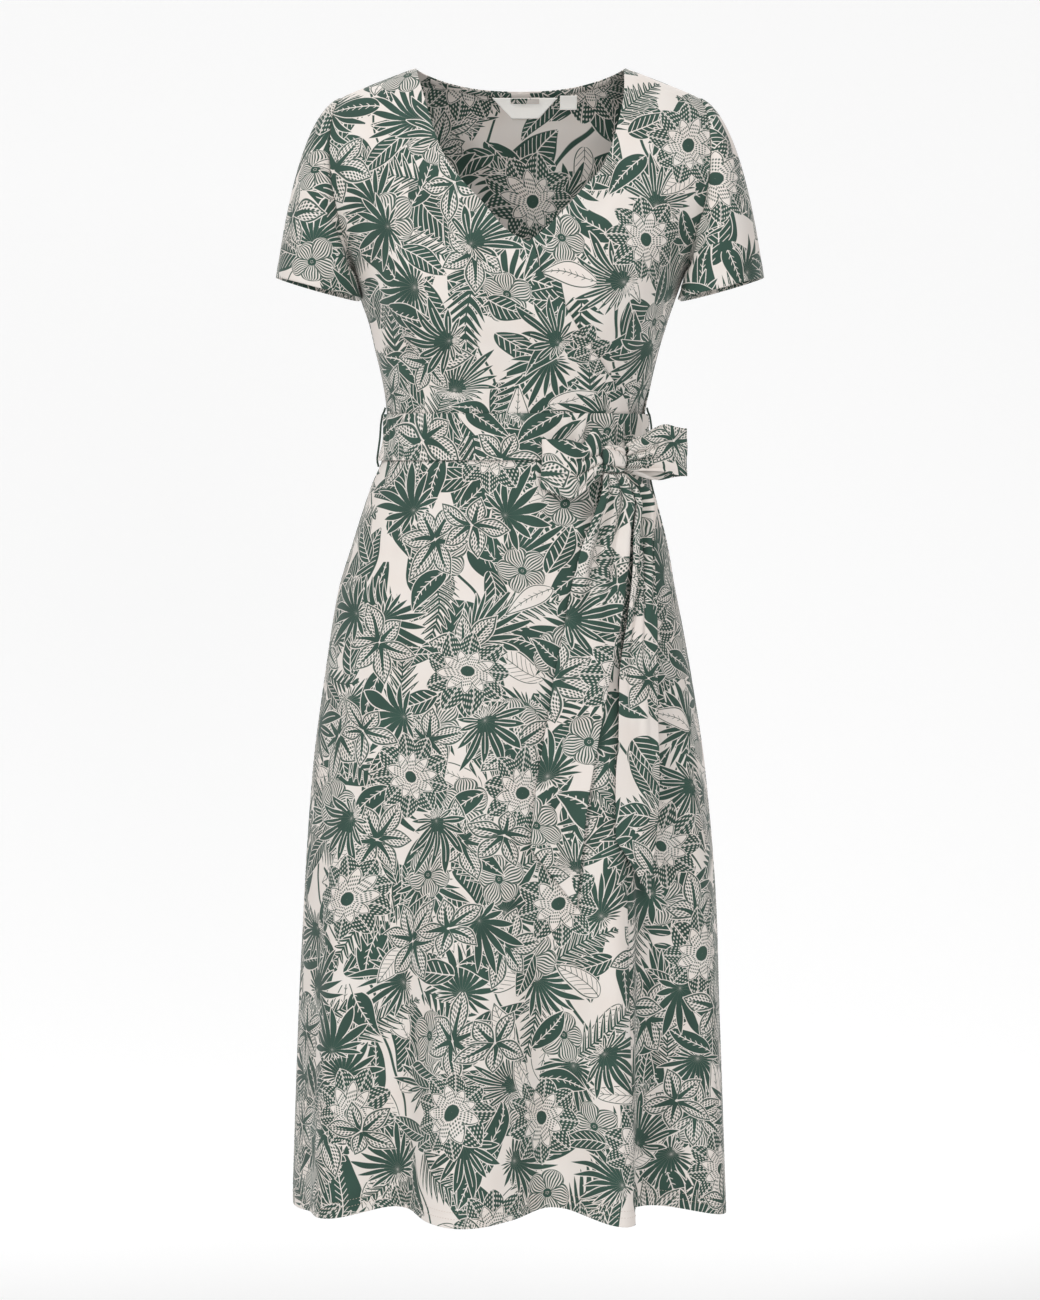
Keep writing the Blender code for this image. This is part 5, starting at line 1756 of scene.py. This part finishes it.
def raise_surface(shader, height, distance, strength=0.5):
    bump = Value.tree.nodes.new("ShaderNodeBump")
    bump.inputs["Distance"].default_value = distance
    bump.inputs["Strength"].default_value = strength
    plug(height, bump.inputs["Height"])
    Value.tree.links.new(bump.outputs["Normal"], shader.inputs["Normal"])


print("half grey of a screen:", [round(part, 3) for part in srgb(128, 128, 128)])

# %% Printed jersey
GREEN, DEEP_GREEN = srgb(54, 86, 74), srgb(40, 66, 57)
CREAM, ROSY_CREAM = srgb(240, 234, 228), srgb(236, 225, 217)
KNIT_WALE, KNIT_COURSE = 0.9, 0.7


def make_printed_jersey():
    material, shader = new_material("Printed jersey", 0.82, 0.12)
    x, y = cut_place()
    ink = tropical_print(x, y)
    worn = drift(x, y, 0.035, 2.0)
    ground = mixed(worn, CREAM, ROSY_CREAM)
    green = mixed(worn, GREEN, DEEP_GREEN)
    plug(mixed(ink, ground, green), shader.inputs["Base Color"])
    rib = wave(x * (math.tau / KNIT_WALE))
    stitch = wave(y * (math.tau / KNIT_COURSE) + size_of(rib) * 1.5)
    raise_surface(shader, rib * 0.6 + stitch * 0.4, 0.00006, 0.4)
    print("nodes in the jersey:", len(material.node_tree.nodes))
    return material


PRINT = make_printed_jersey()

# %% Thread and tape
PAINTED_LABEL_GLOW = 0.2  # painted light: a faint glow on the white tape that keeps it bright in the shade


def object_place():
    coordinates = Value.tree.nodes.new("ShaderNodeTexCoord")
    parts = Value.tree.nodes.new("ShaderNodeSeparateXYZ")
    Value.tree.links.new(coordinates.outputs["Object"], parts.inputs[0])
    return [Value(socket) * 1000.0 for socket in parts.outputs]


def make_thread(name, pale, dark):
    material, shader = new_material(name, 0.6, 0.1)
    x, y, z = object_place()
    ply = wave((x + y + z) * 5.2) * 0.5 + 0.5
    plug(mixed(ply * 0.6, pale, dark), shader.inputs["Base Color"])
    raise_surface(shader, ply, 0.00004)
    return material


def make_tape():
    material, shader = new_material("Label tape", 0.55, 0.1)
    x, y = cut_place()
    weft, warp = wave(y * 9.0), wave(x * 7.0 + wave(y * 4.5) * 0.8)
    shade = drift(x, y, 0.12, 5.0)
    plug(mixed(shade, srgb(252, 249, 243), srgb(244, 238, 229)), shader.inputs["Base Color"])
    raise_surface(shader, weft * 0.7 + warp * 0.3, 0.00005)
    # The tape glows a little: painted light that keeps the label and size tab bright in the shade of the back neck.
    shader.inputs["Emission Color"].default_value = (1, 1, 1, 1)
    shader.inputs["Emission Strength"].default_value = PAINTED_LABEL_GLOW
    return material


THREAD = make_thread("Hem thread", srgb(214, 196, 182), srgb(176, 158, 145))
LOOP_THREAD = make_thread("Loop thread", srgb(58, 84, 73), srgb(30, 48, 41))
TAPE = make_tape()
print("finishes:", [finish.name for finish in (PRINT, THREAD, LOOP_THREAD, TAPE)])

# %% Stitching and thread loops
STITCH_PITCH, STITCH_LENGTH, STITCH_RADIUS, STITCH_STAND = 3.0, 2.0, 0.26, 0.12


def hem_lines(points):
    """The two rows of stitches above a hem, as lines of points on the cloth's outside."""
    below = insets(points)["bottom"]
    raised = points + outward(points) * STITCH_STAND
    lines = []
    for line in HEM_LINES:
        row = [
            [np.interp(-line, -below[:, c], raised[:, c, axis]) for axis in range(3)]
            for c in range(points.shape[1])
        ]
        lines.append(np.array(row))
    return lines


stitch_sizes = dict(Pitch=STITCH_PITCH * MM, Length=STITCH_LENGTH * MM, Radius=STITCH_RADIUS * MM)
hem_stitches = [
    follow(f"{name}_stitches", hem_lines(points), STITCHES, THREAD, **stitch_sizes)
    for name, points in (
        ("over_skirt", over_skirt_points), ("under_skirt", under_skirt_points),
        ("back_skirt", back_skirt_points), ("left_cuff", left_sleeve_points),
        ("right_cuff", right_sleeve_points),
    )
]

BeltLoop = namedtuple("BeltLoop", "drop stand")
BELT_LOOP_PATH = (
    BeltLoop(336.5, 1.8), BeltLoop(340.5, 3.4), BeltLoop(344, 5.4), BeltLoop(353, 7.4),
    BeltLoop(366, 8.6), BeltLoop(378, 8.0), BeltLoop(386, 6.4), BeltLoop(390.5, 4.8),
    BeltLoop(395, 1.9),
)
BELT_LOOP_STEPS = 60


def make_thread_loop(name, bearing):
    path = np.array([body_point(bearing, row.drop, row.stand) for row in BELT_LOOP_PATH])
    fine = np.linspace(0, len(path) - 1, BELT_LOOP_STEPS)
    known = np.arange(len(path))
    smooth = np.stack([np.interp(fine, known, path[:, axis]) for axis in range(3)], -1)
    return follow(name, [smooth], TWIST, LOOP_THREAD)


left_loop = make_thread_loop("left_thread_loop", 0)
right_loop = make_thread_loop("right_thread_loop", 180)

# %% [markdown]
# ## What each piece is
# Every piece but the hem stitches takes the place of one solid, and each says which finish it has.
# The panels, the belt and its bow, the label and the size tab also say the size that they were cut to, before they
# were sewn and worn.

# %% Stand in for the solids
CLOTH_PIECES = (
    (over_front, "right_front_bodice", "draped"), (under_front, "left_front_bodice", "draped"),
    (back, "back_bodice", "draped"), (left_sleeve, "left_sleeve", "draped"),
    (right_sleeve, "right_sleeve", "draped"), (over_skirt, "right_front_skirt", "hung"),
    (under_skirt, "left_front_skirt", "hung"), (back_skirt, "back_skirt", "hung"),
    (belt, "waist_belt", "stretched"), (knot, "bow_knot", "gathered"),
    (side_loop, "bow_loop_side", "folded"), (front_loop, "bow_loop_front", "folded"),
    (long_tail, "tie_tail_long", "hung"), (short_tail, "tie_tail_short", "hung"),
)
HELD_BY = {
    "over_skirt": ["over_front"], "under_skirt": ["under_front"], "back_skirt_cloth": ["back"],
    "belt": ["left_thread_loop", "right_thread_loop"], "knot": ["belt"], "side_loop": ["knot"],
    "front_loop": ["knot"], "long_tail": ["knot"], "short_tail": ["knot"],
    "under_front": ["back"], "over_front": ["back"], "back": ["over_front"],
    "left_sleeve_cloth": ["back"], "right_sleeve_cloth": ["back"],
}
SEWN_TO = {"back": [neck_binding]}
hemmed = ("over_skirt", "under_skirt", "back_skirt_cloth", "left_sleeve_cloth", "right_sleeve_cloth")
SEWN_TO.update((name, [stitches]) for name, stitches in zip(hemmed, hem_stitches))

for piece, node, held in CLOTH_PIECES:
    piece.data.materials.append(PRINT)
    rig.ride(piece, "root")
    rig.replaces(piece, node)
    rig.slot(piece, "print")
    width, length, area = piece["cut"]
    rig.sheet(
        piece, flat=(width, length), held=held, rests_on=HELD_BY[piece.name], area=area,
        with_pieces=SEWN_TO.get(piece.name, []),
    )

for piece, node, finish, material in (
    (neck_binding, "back_neck_binding", "print", PRINT),
    (label, "neck_label", "label", TAPE), (tab, "hanger_tab", "print", PRINT),
    (small_tab, "size_tab", "label", TAPE), (left_loop, "belt_loop_left", "thread", LOOP_THREAD),
    (right_loop, "belt_loop_right", "thread", LOOP_THREAD),
):
    if not piece.data.materials:
        piece.data.materials.append(material)
    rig.ride(piece, "root")
    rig.replaces(piece, node)
    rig.slot(piece, finish)
for piece in hem_stitches:
    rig.ride(piece, "root")
    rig.slot(piece, "thread")
for piece, sewn_on in ((label, [tab]), (small_tab, [])):
    width, length, area = piece["cut"]
    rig.sheet(
        piece, flat=(width, length), held="stretched", rests_on=["neck_binding"], area=area,
        with_pieces=sewn_on,
    )
print("pieces of cloth:", len(CLOTH_PIECES) + len(PATCHES))

# %% [markdown]
# ## Camera, floor and light
# The camera stands nearly four metres away, about level with the bow, so the dress is seen almost
# square on. A sweep of pale floor runs up behind it, with a little light of its own. A key lamp
# high on the left picks out the folds, a fill lamp near the camera keeps them gentle, and two
# broad lamps above and behind light the shoulders and the far side.

# %% Camera
CAMERA_PLACE = (0.0, -3.9, -0.385)
CAMERA_TARGET = (0.0, 0.0, -0.5632)
FRAME_HEIGHT_AT_DRESS, SENSOR_HEIGHT = 1.3, 24.0
IMAGE_WIDTH, IMAGE_HEIGHT = 1040, 1300

camera_data = bpy.data.cameras.new("Camera")
camera = bpy.data.objects.new("Camera", camera_data)
bpy.context.scene.collection.objects.link(camera)
aim = Vector(CAMERA_TARGET) - Vector(CAMERA_PLACE)
camera.location = CAMERA_PLACE
camera.rotation_euler = aim.to_track_quat("-Z", "Y").to_euler()
camera_data.sensor_fit = "VERTICAL"
camera_data.sensor_height = SENSOR_HEIGHT
camera_data.lens = SENSOR_HEIGHT * aim.length / FRAME_HEIGHT_AT_DRESS
bpy.context.scene.camera = camera
print("lens:", round(camera_data.lens, 1), "mm on a frame", IMAGE_WIDTH, "by", IMAGE_HEIGHT)

# %% Floor
FLOOR_Z, FLOOR_HALF_WIDTH, FLOOR_FRONT = -1.42, 7.0, -6.0
WALL_BACK, WALL_TOP, SWEEP_RADIUS, SWEEP_STEPS = 4.0, 4.5, 1.6, 24


def make_floor():
    profile = [(FLOOR_FRONT, FLOOR_Z)]
    for k in range(SWEEP_STEPS + 1):
        turn = math.pi / 2 * k / SWEEP_STEPS
        profile.append((
            WALL_BACK - SWEEP_RADIUS + SWEEP_RADIUS * math.sin(turn),
            FLOOR_Z + SWEEP_RADIUS - SWEEP_RADIUS * math.cos(turn),
        ))
    profile.append((WALL_BACK, WALL_TOP))
    points = [(x, y, z) for y, z in profile for x in (-FLOOR_HALF_WIDTH, FLOOR_HALF_WIDTH)]
    faces = [(2 * k, 2 * k + 1, 2 * k + 3, 2 * k + 2) for k in range(len(profile) - 1)]
    mesh = bpy.data.meshes.new("floor")
    mesh.from_pydata(points, [], faces)
    mesh.shade_smooth()
    obj = bpy.data.objects.new("floor", mesh)
    bpy.context.scene.collection.objects.link(obj)
    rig.stage(obj)
    return obj


floor = make_floor()
print("floor:", 2 * FLOOR_HALF_WIDTH, "m wide,", -FLOOR_Z, "m below the shoulders")

# %% The floor's own light
NEAR_GLOW, FAR_GLOW = 0.30, 0.56
GLOW_START, GLOW_END = 0.2, 1.6  # how far behind the dress the backdrop's own light grows, in metres


def make_pale_floor():
    """A pale backdrop that gives a little light of its own, more of it behind the dress."""
    material = bpy.data.materials.new("Pale floor")
    material.use_nodes = True
    tree = material.node_tree
    shader = tree.nodes["Principled BSDF"]
    shader.inputs["Base Color"].default_value = (0.5, 0.5, 0.5, 1)
    shader.inputs["Roughness"].default_value = 0.9
    shader.inputs["Emission Color"].default_value = (1, 1, 1, 1)
    coordinates, parts = tree.nodes.new("ShaderNodeTexCoord"), tree.nodes.new("ShaderNodeSeparateXYZ")
    grown = tree.nodes.new("ShaderNodeMapRange")
    grown.interpolation_type = "SMOOTHSTEP"
    for socket, value in zip(grown.inputs[1:5], (GLOW_START, GLOW_END, NEAR_GLOW, FAR_GLOW)):
        socket.default_value = value
    tree.links.new(coordinates.outputs["Object"], parts.inputs[0])
    tree.links.new(parts.outputs["Y"], grown.inputs["Value"])
    tree.links.new(grown.outputs["Result"], shader.inputs["Emission Strength"])
    return material


floor.data.materials.append(make_pale_floor())

# %% Light
DRESS_MIDDLE = (0.0, 0.0, -0.5)
Lamp = namedtuple("Lamp", "name place size power")
LAMPS = (
    Lamp("key", (-2.2, -2.9, 2.5), 0.7, 64), Lamp("fill", (0.8, -4.6, 0.3), 1.0, 47),
    Lamp("top", (0.0, -0.4, 2.6), 2.4, 14), Lamp("behind", (0.0, 2.2, 1.8), 2.4, 24),
)
WORLD_GLOW = 0.42
for lamp in LAMPS:
    light = bpy.data.lights.new(lamp.name, "AREA")
    light.energy, light.size = lamp.power, lamp.size
    obj = bpy.data.objects.new(lamp.name, light)
    obj.location = lamp.place
    aim = Vector(DRESS_MIDDLE) - Vector(lamp.place)
    obj.rotation_euler = aim.to_track_quat("-Z", "Y").to_euler()
    bpy.context.scene.collection.objects.link(obj)
world = bpy.data.worlds.new("Studio")
world.use_nodes = True
world.node_tree.nodes["Background"].inputs["Color"].default_value = (1, 1, 1, 1)
world.node_tree.nodes["Background"].inputs["Strength"].default_value = WORLD_GLOW
bpy.context.scene.world = world
bpy.context.scene.view_settings.view_transform = "Standard"
print("lamps:", len(LAMPS))

# %% [markdown]
# ## Sizes
# The finished dress has to stay as big as its solids, apart from what soft cloth may stand proud.
# The two boxes are written down side by side, in extents.json.

# %% Write down both boxes
dress_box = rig.bounds()


def plain_box(box):
    return [[float(value) for value in corner] for corner in box]


with open("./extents.json", "w") as file:
    json.dump({"cad": plain_box(cad_box), "visual": plain_box(dress_box)}, file)
print("box of the dress:", plain_box(dress_box))
